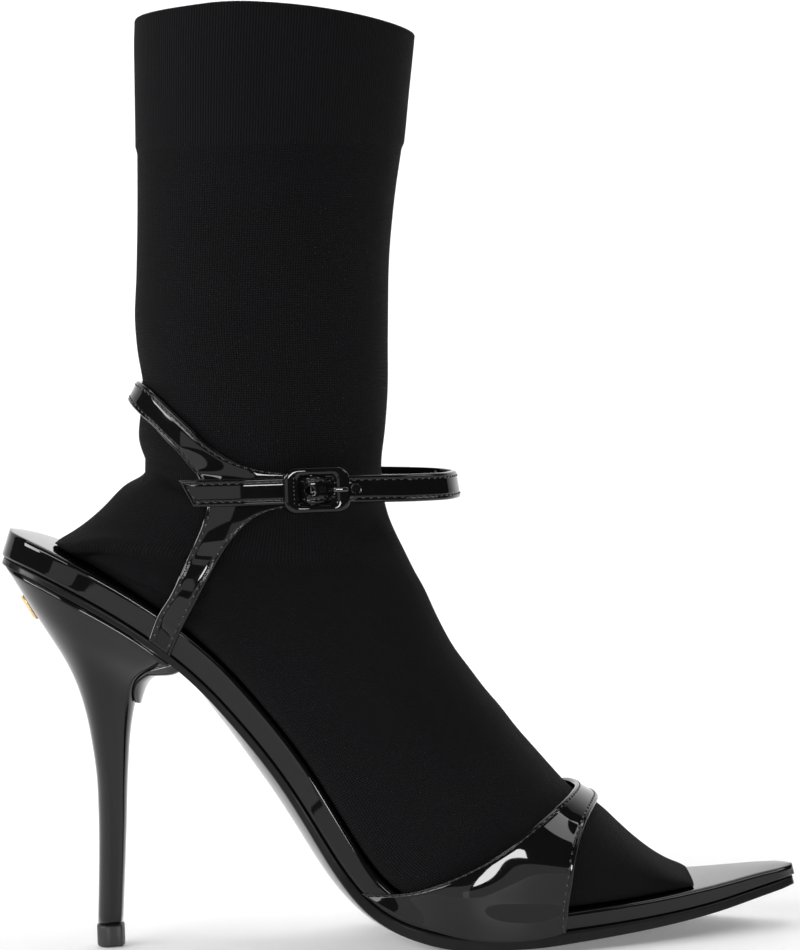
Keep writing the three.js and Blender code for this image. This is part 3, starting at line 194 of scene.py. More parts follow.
def sleeve(rings, close_rings=False, caps=True):
    """Vertices and faces of a tube of rings with the same number of points, capped by fans."""
    rings = np.asarray(rings, float)
    count, around = rings.shape[:2]
    verts = rings.reshape(-1, 3)
    r = np.arange(count if close_rings else count - 1)[:, None]
    i = np.arange(around)[None, :]
    nxt = (r + 1) % count
    j = (i + 1) % around
    quads = np.stack([r * around + i, nxt * around + i, nxt * around + j, r * around + j], -1).reshape(-1, 4)
    faces = quads.tolist()
    if caps and not close_rings:
        first, last = len(verts), len(verts) + 1
        verts = np.vstack([verts, rings[0].mean(0), rings[-1].mean(0)])
        start = (count - 1) * around
        for k in range(around):
            n = (k + 1) % around
            faces.append([first, k, n])
            faces.append([last, start + n, start + k])
    return verts, faces


# ---- Materials ----

def material(name):
    look = bpy.data.materials.new(name)
    look.use_nodes = True
    tree = look.node_tree
    shader = next(n for n in tree.nodes if n.type == "BSDF_PRINCIPLED")
    return look, tree, shader


def node(tree, kind, values=(), **settings):
    made = tree.nodes.new(kind)
    for key, value in settings.items():
        setattr(made, key, value)
    for key, value in dict(values).items():
        made.inputs[key].default_value = value
    return made


def math_node(tree, operation, a, b=None, c=None, clamp=False):
    made = node(tree, "ShaderNodeMath", operation=operation, use_clamp=clamp)
    for i, value in enumerate((a, b, c)):
        if value is None:
            continue
        if isinstance(value, (int, float)):
            made.inputs[i].default_value = value
        else:
            tree.links.new(value, made.inputs[i])
    return made.outputs[0]


def noise(tree, coords, scale, detail=3, rough=0.55):
    made = node(tree, "ShaderNodeTexNoise", {"Scale": scale, "Detail": detail, "Roughness": rough})
    tree.links.new(coords, made.inputs["Vector"])
    return made.outputs["Fac"]


def bump(tree, shader, height, distance):
    made = node(tree, "ShaderNodeBump", {"Strength": 1.0, "Distance": distance})
    tree.links.new(height, made.inputs["Height"])
    tree.links.new(made.outputs["Normal"], shader.inputs["Normal"])


def vary(tree, shader, socket, factor, low, high):
    """A socket that moves between two values or colours with a factor."""
    if isinstance(low, (int, float)):
        span = node(tree, "ShaderNodeMapRange", {"To Min": low, "To Max": high})
        tree.links.new(factor, span.inputs["Value"])
        tree.links.new(span.outputs["Result"], shader.inputs[socket])
        return
    ramp = node(tree, "ShaderNodeMix", data_type="RGBA")
    ramp.inputs["A"].default_value = (*low, 1)
    ramp.inputs["B"].default_value = (*high, 1)
    tree.links.new(factor, ramp.inputs["Factor"])
    tree.links.new(ramp.outputs["Result"], shader.inputs[socket])


def patent_look(name):
    dark, rough = 0.0035, 0.035
    look, tree, shader = material(name)
    coords = node(tree, "ShaderNodeTexCoord").outputs["Object"]
    soft = noise(tree, coords, 55, 2)
    fine = noise(tree, coords, 900, 2)
    vary(tree, shader, "Base Color", soft, (dark, dark, dark * 1.1), (dark * 1.6, dark * 1.5, dark * 1.6))
    vary(tree, shader, "Roughness", fine, rough * 0.7, rough * 1.4)
    shader.inputs["IOR"].default_value = 1.4
    bump(tree, shader, soft, 0.00002)
    return look


def knit_look(name, ribbed):
    """Fine jersey, or fine ribs for the cuff. The map counts wales across and courses along."""
    look, tree, shader = material(name)
    place = node(tree, "ShaderNodeUVMap", uv_map="knit").outputs["UV"]
    split = node(tree, "ShaderNodeSeparateXYZ")
    tree.links.new(place, split.inputs[0])
    across, along = split.outputs[0], split.outputs[1]
    turn = 2 * math.pi
    wale = math_node(tree, "ABSOLUTE", math_node(tree, "SINE", math_node(tree, "MULTIPLY", across, turn / 2)))
    if ribbed:
        rib = math_node(tree, "POWER", wale, 0.7)
        row = math_node(tree, "SINE", math_node(tree, "MULTIPLY", along, turn))
        height = math_node(tree, "MULTIPLY_ADD", row, 0.08, rib)
    else:
        tilt = math_node(tree, "MULTIPLY_ADD", wale, 0.35, along)
        row = math_node(tree, "ABSOLUTE", math_node(tree, "SINE", math_node(tree, "MULTIPLY", tilt, turn / 2)))
        height = math_node(tree, "MULTIPLY", math_node(tree, "POWER", wale, 0.6), math_node(tree, "POWER", row, 0.6))
    coords = node(tree, "ShaderNodeTexCoord").outputs["Object"]
    bright = 0.8 if ribbed else 1.0
    fuzz = noise(tree, coords, 2600, 2, 0.7)
    patchy = noise(tree, coords, 45, 3)
    surface = math_node(tree, "MULTIPLY_ADD", fuzz, 0.5, height)
    bump(tree, shader, surface, 0.0003)
    # The base colour follows the knit's height: painted shade, near black, in the hollows between the loops, and
    # painted light on the loop tops; the fuzz and patchy noise add random tone.
    deep = math_node(tree, "POWER", height, 1.6)
    shade = math_node(tree, "MULTIPLY_ADD", deep, 0.75, math_node(tree, "MULTIPLY", fuzz, 0.22))
    shade = math_node(tree, "MULTIPLY_ADD", patchy, 0.2, shade, clamp=True)
    vary(tree, shader, "Base Color", shade, (0.0001, 0.0001, 0.0002),
         (0.0096 * bright, 0.0093 * bright, 0.0110 * bright))
    shader.inputs["Roughness"].default_value = 0.82
    shader.inputs["Specular IOR Level"].default_value = 0.08
    shader.inputs["Sheen Weight"].default_value = 0.012
    shader.inputs["Sheen Roughness"].default_value = 0.45
    return look


def plain_look(name, low, high, rough, scale=300, wave=0.00002, sockets=()):
    look, tree, shader = material(name)
    coords = node(tree, "ShaderNodeTexCoord").outputs["Object"]
    grain = noise(tree, coords, scale, 4)
    soft = noise(tree, coords, 60, 2)
    vary(tree, shader, "Base Color", grain, low, high)
    vary(tree, shader, "Roughness", grain, rough * 0.8, rough * 1.25)
    for key, value in dict(sockets).items():
        shader.inputs[key].default_value = value
    bump(tree, shader, soft, wave)
    return look


patent = patent_look("patent_leather")
jersey = knit_look("jersey_knit", False)
ribbing = knit_look("rib_knit", True)
sole_side = plain_look("sole_edge", (0.010, 0.010, 0.011), (0.016, 0.015, 0.016), 0.16, wave=0.00003,
                       sockets={"Specular IOR Level": 0.1})
sole_under = plain_look("sole_underside", (0.008, 0.008, 0.009), (0.014, 0.013, 0.014), 0.13, wave=0.00003)
heel_look = plain_look("heel_lacquer", (0.004, 0.004, 0.004), (0.006, 0.006, 0.006), 0.06, wave=0.00001,
                       sockets={"IOR": 1.45})
rubber = plain_look("heel_rubber_look", (0.010, 0.010, 0.010), (0.020, 0.020, 0.020), 0.45, scale=900)
thread = plain_look("stitch_thread", (0.010, 0.010, 0.011), (0.022, 0.022, 0.023), 0.16, scale=2500)
enamel = plain_look("prong_gloss", (0.010, 0.010, 0.011), (0.014, 0.014, 0.015), 0.07,
                    sockets={"Coat Weight": 1.0, "Coat Roughness": 0.05})
gold = plain_look("gold_plate", (0.78, 0.56, 0.28), (0.86, 0.66, 0.36), 0.2, sockets={"Metallic": 1.0})


# ---- The last: the line between footbed and outsole ----

SOLE_ROWS = [
    (0.000, 1.000, 0), (0.035, 0.974, 0), (0.085, 0.923, 0), (0.180, 0.799, 0), (0.250, 0.676, 0),
    (0.300, 0.558, 0), (0.350, 0.420, 0), (0.390, 0.285, 0), (0.430, 0.147, 0), (0.465, 0.070, 0),
    (0.510, 0.024, 0), (0.575, 0.000, 0), (0.640, 0.000, 0), (0.720, 0.000, 0.10), (0.800, 0.000, 0.22),
    (0.880, 0.000, 0.42), (0.950, 0.000, 0.74), (1.000, 0.000, 1.00),
]
sole_up, sole_spring = read_table(SOLE_ROWS)
OUTSOLE_ROWS = [
    (0.000, 0.55, 0.00, 0.0), (0.215, 0.55, 0.00, 0.0), (0.290, 0.52, 0.72, 0.0), (0.350, 0.52, 1.00, 0.0),
    (0.420, 0.60, 0.90, 0.1), (0.480, 0.80, 0.60, 0.3), (0.575, 1.00, 0.33, 0.5), (0.640, 1.00, 0.33, 0.5),
    (0.800, 0.85, 0.20, 0.5), (1.000, 0.60, 0.05, 0.5),
]
outsole_share, outsole_crown, outsole_flat = read_table(OUTSOLE_ROWS)
BALL_LIFT = GAP + SOLE_EDGE + 0.33 * SOLE_CROWN
OUTLINE_ROWS = [
    (0.00, SEAT_WIDTH, 0.490, 0.490), (0.06, SEAT_WIDTH, 0.495, 0.495), (0.12, SEAT_WIDTH, 0.500, 0.500),
    (0.20, SEAT_WIDTH, 0.485, 0.460), (0.28, WAIST_WIDTH, 0.555, 0.490), (0.36, WAIST_WIDTH, 0.535, 0.465),
    (0.42, BALL_WIDTH, 0.345, 0.295), (0.48, BALL_WIDTH, 0.425, 0.375), (0.54, BALL_WIDTH, 0.492, 0.445),
    (0.60, BALL_WIDTH, 0.520, 0.480), (0.66, BALL_WIDTH, 0.510, 0.482), (0.72, BALL_WIDTH, 0.465, 0.462),
    (0.78, BALL_WIDTH, 0.396, 0.425), (0.84, BALL_WIDTH, 0.312, 0.362), (0.90, BALL_WIDTH, 0.215, 0.280),
    (0.95, BALL_WIDTH, 0.128, 0.192), (1.00, BALL_WIDTH, 0.050, 0.105),
]
outline_outer, outline_inner = read_table([(at, of * a, of * b) for at, of, a, b in OUTLINE_ROWS])
footbed_share, = read_table([
    (0.00, 1.00), (0.20, 0.98), (0.35, 0.91), (0.45, 0.86), (0.55, 0.76), (0.65, 0.68), (0.85, 0.66), (0.95, 0.55),
    (1.00, 0.40),
])


def sole_x(at):
    return -TIP_SETBACK + FOOTBED_LENGTH * at


# The side line, evened out so that glossy surfaces have no kinks
line_at = np.linspace(0, 1, 801)
line_z = BALL_LIFT + (SEAT_HEIGHT - BALL_LIFT) * sole_up(line_at) + TOE_SPRING * sole_spring(line_at)
line_z = soften(line_z, 220)
line_run = np.concatenate([[0], np.cumsum(np.hypot(np.diff(sole_x(line_at)), np.diff(line_z)))])
LINE_LENGTH = line_run[-1]
line_slope = np.gradient(line_z, sole_x(line_at))


def sole_z(at):
    return np.interp(at, line_at, line_z)


def last_point(at, y, height):
    """A point by its place along the line, its side offset and its height square to the line."""
    at = np.clip(at, 0, 1)
    slope = np.interp(at, line_at, line_slope)
    run = 1 / np.sqrt(1 + slope**2)
    return points(sole_x(at) - slope * run * height, y, sole_z(at) + run * height)


def length_at(at):
    return np.interp(at, line_at, line_run)


def at_length(length):
    return np.interp(length, line_run, line_at)


def half_width(at, side, inset=0.0):
    """Half width of the footbed; side -1 is the outer side, +1 the inner one."""
    full = (outline_outer(at) if side < 0 else outline_inner(at)) - inset
    from_back = np.clip((length_at(at) - inset) / SEAT_ROUND, 0, 1)
    from_tip = np.clip((LINE_LENGTH - inset - length_at(at)) / TIP_ROUND, 0, 1)
    return full * np.sqrt(1 - (1 - from_back)**2) * np.sqrt(1 - (1 - from_tip)**2)


def sole_stations(inset, ends=20, body=150):
    angles = np.radians(np.linspace(2, 90, ends))
    first = inset + SEAT_ROUND * (1 - np.cos(angles))
    last = LINE_LENGTH - inset - TIP_ROUND * (1 - np.cos(angles))[::-1]
    middle = np.linspace(first[-1], last[0], body)[1:-1]
    return at_length(np.concatenate([first, middle, last]))


def footbed_top(at):
    return FOOTBED_THICKNESS * footbed_share(at)


def corner(steps, start, turn=90):
    """Places on a unit arc as (across, up), turning from start degrees."""
    angles = np.radians(start + np.linspace(0, turn, steps))
    return np.cos(angles), np.sin(angles)


def footbed_ring(at):
    top = footbed_top(at)
    outer, inner = half_width(at, -1), half_width(at, 1)
    edge = min(RIM_EDGE, outer * 0.5, inner * 0.5, top * 0.4)
    cut = min(RIM_UNDERCUT, outer * 0.2, inner * 0.2)
    sides = np.linspace(0.15, 0.85, 5)
    c, s = corner(7, -90, -90)
    left_low = (-outer + cut + edge + edge * c, edge + edge * s)
    left_side = (-outer + cut * (1 - sides), mix(edge, top - edge, sides))
    c, s = corner(7, 180, -90)
    left_high = (-outer + edge + edge * c, top - edge + edge * s)
    across = np.linspace(0, 1, 17)[1:-1]
    crown = 0.15 * np.sin(across * math.pi)
    over = (mix(-outer + edge, inner - edge, across), top + crown)
    c, s = corner(7, 90, -90)
    right_high = (inner - edge + edge * c, top - edge + edge * s)
    right_side = (inner - cut * sides, mix(top - edge, edge, sides))
    c, s = corner(7, 0, -90)
    right_low = (inner - cut - edge + edge * c, edge + edge * s)
    under = (mix(inner - cut - edge, -outer + cut + edge, across), np.zeros(15))
    parts = (left_low, left_side, left_high, over, right_high, right_side, right_low, under)
    y, h = (np.concatenate([part[k] for part in parts]) for k in (0, 1))
    return last_point(np.full(len(y), at), y, h)


build("footbed_patent", *sleeve([footbed_ring(at) for at in sole_stations(0.02)]), patent, "patent",
                ["footbed"])


# ---- Outsole with its crowned waist, and the lip on the breast ----

def outsole_edge(at):
    return SOLE_EDGE * outsole_share(at)


def outsole_ring(at):
    outer, inner = half_width(at, -1, SOLE_INSET), half_width(at, 1, SOLE_INSET)
    depth = float(outsole_edge(at))
    shares = np.concatenate([[-1], np.linspace(-0.985, 0.985, 41), [1]])
    flat = outsole_flat(at)
    beyond = np.maximum(0, (np.abs(shares) - flat) / (1 - flat))
    under = depth + SOLE_CROWN * outsole_crown(at) * (1 - beyond**2)
    soft = min(0.35, outer * 0.4, inner * 0.4)
    width = np.where(shares < 0, outer, inner) * shares
    low = -GAP - under
    low[0] += soft * 0.9
    low[-1] += soft * 0.9
    width[1] = -outer + soft * 0.25
    width[-2] = inner - soft * 0.25
    low[1] += soft * 0.25
    low[-2] += soft * 0.25
    side = np.linspace(-GAP - 0.15, -GAP - depth + soft * 1.2, 5)
    y = np.concatenate([[-outer + 0.2], np.full(5, -outer), width, np.full(5, inner), [inner - 0.2],
                        np.linspace(inner, -outer, 9)[1:-1]])
    h = np.concatenate([[-GAP], side, low, side[::-1], [-GAP], np.full(7, -GAP)])
    return last_point(np.full(len(y), at), y, h)


outsole_rings = [outsole_ring(at) for at in sole_stations(SOLE_INSET)]
verts, faces = sleeve(outsole_rings)
ring_size = len(outsole_rings[0])
face_look = [int(len(face) == 4 and 7 <= index % ring_size <= ring_size - 16) for index, face in enumerate(faces)]
build("outsole_leather", verts, faces, [sole_side, sole_under], "sole_leather", ["outsole"],
                face_look=face_look)


# ---- Heel ----

SEAT_BACK_LENGTH = SOLE_INSET + HEEL_INSET
seat_back_at = float(at_length(SEAT_BACK_LENGTH))
seat_front_at = seat_back_at + HEEL_SEAT_LENGTH / FOOTBED_LENGTH


def heel_top_height(at):
    return -2 * GAP - outsole_edge(at)


tip_back = np.array([-TIP_LENGTH / 2, 0, TOP_PIECE_HEIGHT + GAP])
tip_front = np.array([TIP_LENGTH / 2, 0, TOP_PIECE_HEIGHT + GAP])
seat_back = last_point(seat_back_at, 0, heel_top_height(seat_back_at))
seat_front = last_point(seat_front_at, 0, heel_top_height(seat_front_at))
HEEL_ROWS = [
    (1, 0.775, 0.915, 0.700, 0.962, 0.415, 0.86, 0.05), (2, 0.530, 0.822, 0.490, 0.915, 0.325, 0.78, 0.09),
    (3, 0.300, 0.738, 0.370, 0.855, 0.247, 0.70, 0.13), (4, 0.142, 0.656, 0.290, 0.785, 0.190, 0.66, 0.16),
    (5, 0.042, 0.569, 0.230, 0.708, 0.155, 0.64, 0.17), (6, -0.013, 0.486, 0.195, 0.628, 0.132, 0.64, 0.17),
    (7, -0.055, 0.386, 0.155, 0.522, 0.114, 0.66, 0.15), (8, -0.055, 0.287, 0.125, 0.398, 0.102, 0.70, 0.13),
    (9, -0.035, 0.150, 0.070, 0.212, 0.093, 0.74, 0.10), (10, 0.000, 0.000, 0.000, 0.000, 0.088, 0.78, 0.08),
]
heel_steps = np.linspace(1, 10, 271)
heel_table = np.array([curve(heel_steps) for curve in read_table(HEEL_ROWS)]).T
heel_table = soften(heel_table, 60)


def heel_section(at):
    back_out, back_up, front_out, front_up, half, corner_share, breast = [
        np.interp(at, heel_steps, column) for column in heel_table.T]
    back = np.array([mix(tip_back[0], seat_back[0], back_out), 0, mix(tip_back[2], seat_back[2], back_up)])
    front = np.array([mix(tip_front[0], seat_front[0], front_out), 0, mix(tip_front[2], seat_front[2], front_up)])
    return back, front, half * SEAT_WIDTH, corner_share, breast


SIDE_PLACES = 1 - np.cos(np.radians(np.linspace(0, 90, 22)))
BREAST_TURNS = np.linspace(0, 180, 21)[1:-1]


def heel_side(share, corner_share):
    near = np.clip(share / 0.5, 0, 1)
    towards = np.clip((share - 0.35) / 0.65, 0, 1)
    return np.sqrt(1 - (1 - near)**2) * mix(1, corner_share, smooth(towards))


def breast_points(section, turns):
    back, front, half, corner_share, breast = section
    angles = np.radians(turns)
    swell = 1 - breast * (1 - np.sin(angles))
    place = back + (front - back) * swell[:, None]
    place[:, 1] = -half * corner_share * np.cos(angles)
    return place


def heel_ring(section):
    back, front, half, corner_share, breast = section
    place = back + (front - back) * (SIDE_PLACES * (1 - breast))[:, None]
    wide = half * heel_side(SIDE_PLACES, corner_share)
    outer = place.copy()
    outer[:, 1] = -wide
    inner = place[1:][::-1].copy()
    inner[:, 1] = wide[1:][::-1]
    return np.vstack([outer, breast_points(section, BREAST_TURNS), inner])


def heel_top_ring():
    at = mix(seat_back_at, seat_front_at, SIDE_PLACES)
    height = heel_top_height(at)
    outer = last_point(at, -half_width(at, -1, SEAT_BACK_LENGTH), height)
    inner = last_point(at, half_width(at, 1, SEAT_BACK_LENGTH), height)[1:][::-1]
    share = (1 - np.cos(np.radians(BREAST_TURNS))) / 2
    breast = points(seat_front[0], mix(outer[-1, 1], inner[0, 1], share), seat_front[2])
    return np.vstack([outer, breast, inner])


heel_rings = [heel_ring(heel_section(at)) for at in np.linspace(1, 10, 60)]
top_ring = heel_top_ring()
below = heel_rings[0]
ease = [mix(top_ring, below, share) for share in (0.0, 0.25, 0.5, 0.75)]
heel_rings = soften(np.array(ease + heel_rings), 6)
build("heel_body", *sleeve(heel_rings), heel_look, "heel_gloss", ["heel"])


def top_piece_ring(height, grow):
    back, front = heel_section(10)[:2]
    ring = heel_ring(heel_section(10))
    centre = (back + front) / 2
    out = (ring - centre)[:, :2]
    reach = np.linalg.norm(out, axis=1, keepdims=True)
    out = out * (1 + grow / reach)
    return points(out[:, 0], out[:, 1], height)


TOP_PIECE = [(6.0, 0.05), (5.9, 0.22), (5.6, 0.35), (0.7, 0.35), (0.25, 0.28), (0.0, 0.05)]
build("heel_tip_lift", *sleeve([top_piece_ring(h, g) for h, g in TOP_PIECE]), rubber, "heel_rubber",
                  ["top_piece"])

lip_wide, = read_table([(0.0, 0.93), (1.0, 0.90), (2.0, 0.84), (2.8, 0.66), (3.3, 0.34)])


def lip_section(at):
    back, front, half, corner_share, breast = heel_section(max(at, 1))
    if at >= 1:
        return back, front, half, corner_share, breast
    share = 1 - at
    top_half = half_width(seat_front_at, -1, SEAT_BACK_LENGTH)
    return (mix(back, seat_back, share), mix(front, seat_front, share), mix(half, top_half, share),
            mix(corner_share, 1, share), mix(breast, 0, share))


def lip_ring(at):
    along = unit(lip_section(max(0, at - 0.1))[1] - lip_section(at + 0.1)[1])
    out = np.array([along[2], 0, -along[0]])
    turns = 90 + np.linspace(-1, 1, 25) * 90 * lip_wide(at)
    places = breast_points(lip_section(at), turns)
    round_off = np.sqrt(1 - np.linspace(-1, 1, 25)**6)
    face = places + out * LIP_GAP
    thick = LIP_THICKNESS * (1 + 1.8 * math.exp(-(at / 0.8)**2))
    outer = places + out * (LIP_GAP + thick * (0.35 + 0.65 * round_off))[:, None]
    return np.vstack([face, outer[::-1]])


lip_rings = [lip_ring(at) for at in np.linspace(0, 3.3, 40)]
lip_rings.insert(0, lip_rings[0] + np.array([1.8, 0, 0.9]))
build("breast_lip", *sleeve(soften(np.array(lip_rings), 2)), sole_under, "sole_leather")


# ---- Sock ----

ANKLE_Z = SEAT_HEIGHT + ANKLE_RISE


def sock_floor(at):
    return footbed_top(at) + GAP


SHAFT_ROWS = [
    (0.00, 0.465, 1.000, 0.624, 0.968, 0.530, 1.0), (0.03, 0.470, 0.965, 0.612, 0.915, 0.525, 0.6),
    (0.08, 0.474, 0.860, 0.592, 0.830, 0.515, 0.0), (0.12, 0.478, 0.750, 0.572, 0.740, 0.508, 0.0),
    (0.16, 0.486, 0.600, 0.530, 0.600, 0.500, 0.0), (0.20, 0.500, 0.440, 0.500, 0.450, 0.492, 0.0),
    (0.23, 0.512, 0.345, 0.492, 0.350, 0.485, 0.0), (0.25, 0.503, 0.260, 0.486, 0.260, 0.482, 0.0),
    (0.27, 0.486, 0.200, 0.483, 0.190, 0.482, 0.0), (0.29, 0.506, 0.120, 0.471, 0.110, 0.485, 0.0),
    (0.31, 0.517, 0.072, 0.460, 0.060, 0.486, 0.0), (0.33, 0.490, 0.036, 0.450, 0.028, 0.486, 0.0),
    (0.35, 0.470, 0.004, 0.444, 0.000, 0.486, 0.0),
]
TURN_ROWS = [
    (0.37, 0.110, -0.005, 0.110, 0.040, 0.488), (0.39, 0.200, 0.050, 0.240, 0.080, 0.490),
    (0.42, 0.423, -0.028, 0.436, 0.107, 0.490), (0.45, 0.640, -0.072, 0.645, 0.080, 0.485),
    (0.48, 0.827, -0.071, 0.824, 0.035, 0.478), (0.50, 0.952, -0.046, 0.947, 0.012, 0.470),
]
FOOT_ROWS = [
    (0.51, 0.046, 72.0, 1.240, 0.360, 0.00, 0.000), (0.53, 0.090, 67.5, 1.150, 0.370, 0.00, 0.000),
    (0.56, 0.160, 62.0, 0.995, 0.385, 0.04, 0.000), (0.60, 0.240, 49.0, 0.820, 0.400, 0.14, -0.006),
    (0.64, 0.305, 31.0, 0.700, 0.415, 0.22, -0.017), (0.68, 0.360, 11.5, 0.640, 0.430, 0.28, -0.019),
    (0.72, 0.405, -4.5, 0.645, 0.445, 0.25, -0.022), (0.76, 0.450, 0.5, 0.655, 0.462, 0.16, -0.024),
    (0.80, 0.500, 22.0, 0.625, 0.470, 0.02, -0.022), (0.84, 0.560, 32.0, 0.550, 0.468, 0.00, -0.018),
    (0.88, 0.630, 33.5, 0.428, 0.450, 0.00, -0.010), (0.91, 0.690, 33.5, 0.340, 0.418, 0.00, -0.002),
    (0.94, 0.750, 29.0, 0.220, 0.370, 0.00, 0.008), (0.96, 0.800, 24.5, 0.125, 0.315, 0.00, 0.018),
    (0.98, 0.840, 17.0, 0.057, 0.262, 0.00, 0.028), (0.99, 0.860, 11.0, 0.030, 0.232, 0.00, 0.032),
    (1.00, 0.868, 17.0, 0.014, 0.200, 0.00, 0.034),
]
round_top, round_bottom = read_table([
    (0.00, 2.3, 2.3), (0.35, 2.3, 2.2), (0.51, 2.2, 2.7), (0.56, 2.1, 6.5), (0.62, 2.1, 10.0), (0.84, 2.1, 10.0),
    (0.94, 2.2, 8.0), (1.00, 2.6, 5.0),
])


def foot_section(row):
    at, along, lean, deep, half, taper, drift = row
    bottom = last_point(along, 0, sock_floor(along))
    normal = unit(last_point(along, 0, 1) - last_point(along, 0, 0))
    tangent = np.array([normal[2], 0, -normal[0]])
    angle, depth = math.radians(lean), deep * INSTEP_DEPTH
    top = bottom + (normal * math.cos(angle) + tangent * math.sin(angle)) * depth
    return (at, bottom[0], bottom[2], top[0], top[2], half * BALL_WIDTH, 0, taper, drift * BALL_WIDTH)


def beside(a, b, share, off):
    """A place on the way from a to b, set off to its left."""
    way = b - a
    length = np.hypot(*way)
    return a + way * share + np.array([way[1], -way[0]]) / length * off


shaft_sections = [
    (at, SHAFT_FORWARD - back * SHAFT_DEPTH, ANKLE_Z + back_up * SHAFT_HEIGHT, SHAFT_FORWARD + front * SHAFT_DEPTH,
     ANKLE_Z + front_up * SHAFT_HEIGHT, half * SHAFT_WIDTH, lift * COLLAR_LIFT, 0, 0)
    for at, back, back_up, front, front_up, half, lift in SHAFT_ROWS]
foot_sections = [foot_section(row) for row in FOOT_ROWS]
low, high = np.array(foot_sections[0]), np.array(shaft_sections[-1])
turn_sections = []
for at, down, out, fall, hollow, half in TURN_ROWS:
    back = beside(high[1:3], low[1:3], down, out * ANKLE_RISE)
    front = beside(high[3:5], low[3:5], fall, hollow * ANKLE_RISE)
    turn_sections.append((at, *back, *front, half * SHAFT_WIDTH, 0, 0, 0))
sock_bx, sock_bz, sock_fx, sock_fz, sock_half, sock_lift, sock_taper, sock_drift = read_table(
    shaft_sections + turn_sections + foot_sections)
foot_along = read_curve([r[0] for r in FOOT_ROWS], [r[1] for r in FOOT_ROWS])


def sock_section(at):
    at = np.asarray(at, float)
    along = foot_along(at)
    on_foot = (at >= FOOT_ROWS[0][0])[..., None]
    bottom = np.where(on_foot, last_point(along, 0, sock_floor(along)), points(sock_bx(at), 0, sock_bz(at)))
    top = points(sock_fx(at), 0, sock_fz(at))
    up = top - bottom
    span = np.linalg.norm(up, axis=-1)
    return bottom, up / span[..., None], span, (bottom + top) / 2


# How far inside the footbed's edge the foot of the sock ends
sole_inset, = read_table([(0.0, 0.6), (0.51, 0.6), (0.93, 0.6), (0.97, 1.8), (1.0, 3.2)])


def section_taper(at, v):
    """How much narrower the sock is at the footbed than at its widest, on the side that v is on."""
    along = foot_along(at)
    drift, half = sock_drift(at), sock_half(at)
    outer_side = (half_width(along, -1) - sole_inset(at) + drift) / half
    inner_side = (half_width(along, 1) - sole_inset(at) - drift) / half
    filled = np.minimum(sock_taper(at), 1 - np.where(v > 0, outer_side, inner_side))
    return mix(sock_taper(at), filled, smooth(np.clip((at - 0.52) / 0.06, 0, 1)))


def section_point(at, section, u, v, gap):
    bottom, up, span, middle = section
    narrow = 1 - section_taper(at, v) * (1 - u) / 2
    along = u * (span / 2 + gap)
    lift = sock_lift(at) * v * v
    return points(
        middle[..., 0] + along * up[..., 0] - lift * up[..., 2],
        -v * (sock_half(at) * narrow + gap) + sock_drift(at),
        middle[..., 2] + along * up[..., 2] + lift * up[..., 0])


def collar_trim(at, turn):
    """The cut of the collar: a little higher at the back and lower at the sides."""
    around = np.abs((turn + 180) % 360 - 180)
    back = 2.0 * smooth(np.clip((around - 118) / 50, 0, 1))
    side = -1.2 * np.sin(np.clip(around / 118, 0, 1) * math.pi)**2
    return (back + side) * np.clip(1 - at / 0.06, 0, 1)**2


def sock_point(at, turn, gap=0.0):
    at, turn, gap = np.broadcast_arrays(np.asarray(at, float), np.asarray(turn, float), np.asarray(gap, float))
    c, s = np.cos(np.radians(turn)), np.sin(np.radians(turn))
    power = np.where(c > 0, round_top(at), round_bottom(at))
    reach = (np.abs(c)**power + np.abs(s)**power)**(-1 / power)
    place = section_point(at, sock_section(at), c * reach, s * reach, gap)
    place[..., 2] += collar_trim(at, turn)
    return place


def find_place(low, high, before):
    """Halves each span until it closes on the place where before turns false."""
    low, high = np.array(low, float), np.array(high, float)
    for _ in range(30):
        middle = (low + high) / 2
        yes = before(middle)
        low, high = np.where(yes, middle, low), np.where(yes, high, middle)
    return (low + high) / 2


def sock_around(turn, z, gap):
    turn, z, gap = np.broadcast_arrays(np.asarray(turn, float), np.asarray(z, float), np.asarray(gap, float))
    at = find_place(np.zeros(turn.shape), np.ones(turn.shape), lambda a: sock_point(a, turn, gap)[..., 2] > z)
    return sock_point(at, turn, gap)


def sock_beside(x, z, side, gap):
    x, z, gap = np.broadcast_arrays(np.asarray(x, float), np.asarray(z, float), np.asarray(gap, float))

    def before(at):
        bottom, up = sock_section(at)[:2]
        return (x - bottom[..., 0]) * up[..., 2] - (z - bottom[..., 2]) * up[..., 0] > 0
    at = find_place(np.zeros(x.shape), np.ones(x.shape), before)
    section = sock_section(at)
    bottom, up, span, middle = section
    along = (x - middle[..., 0]) * up[..., 0] + (z - middle[..., 2]) * up[..., 2]
    u = np.clip(along / (span / 2 + gap), -1, 1)
    power = np.where(u > 0, round_top(at), round_bottom(at))
    return section_point(at, section, u, -side * (1 - np.abs(u)**power)**(1 / power), gap)


cuff_at = float(read_curve([-r[2] for r in SHAFT_ROWS], [r[0] for r in SHAFT_ROWS])(
    -(SHAFT_ROWS[0][2] - CUFF_HEIGHT / SHAFT_HEIGHT)))
AROUND = 232
WALES = 312
turns = np.linspace(0, 360, AROUND, endpoint=False)

# Stations spaced evenly along the sock's front, side and back taken together
sock_at = np.linspace(0, 1, 1601)
sock_lines = sock_point(sock_at[:, None], np.array([0, 60, 90, 120, 180])[None, :])
sock_leap = np.linalg.norm(np.diff(sock_lines, axis=0), axis=-1)
sock_leap = 0.5 * sock_leap.mean(1) + 0.5 * sock_leap.max(1)
sock_run = np.concatenate([[0], np.cumsum(sock_leap)])
STATIONS = 350
stations = np.interp(np.linspace(0, sock_run[-1], STATIONS), sock_run, sock_at)
# The narrow step under the cuff gets its own stations
stations = np.sort(np.concatenate([stations, cuff_at + np.array([-0.003, -0.0015, 0, 0.0015, 0.003])]))


def cuff_gap(at):
    return CUFF_STEP * (1 - smooth(np.clip((at - cuff_at + 0.003) / 0.006, 0, 1)))


outer = sock_point(stations[:, None], turns[None, :], cuff_gap(stations)[:, None])


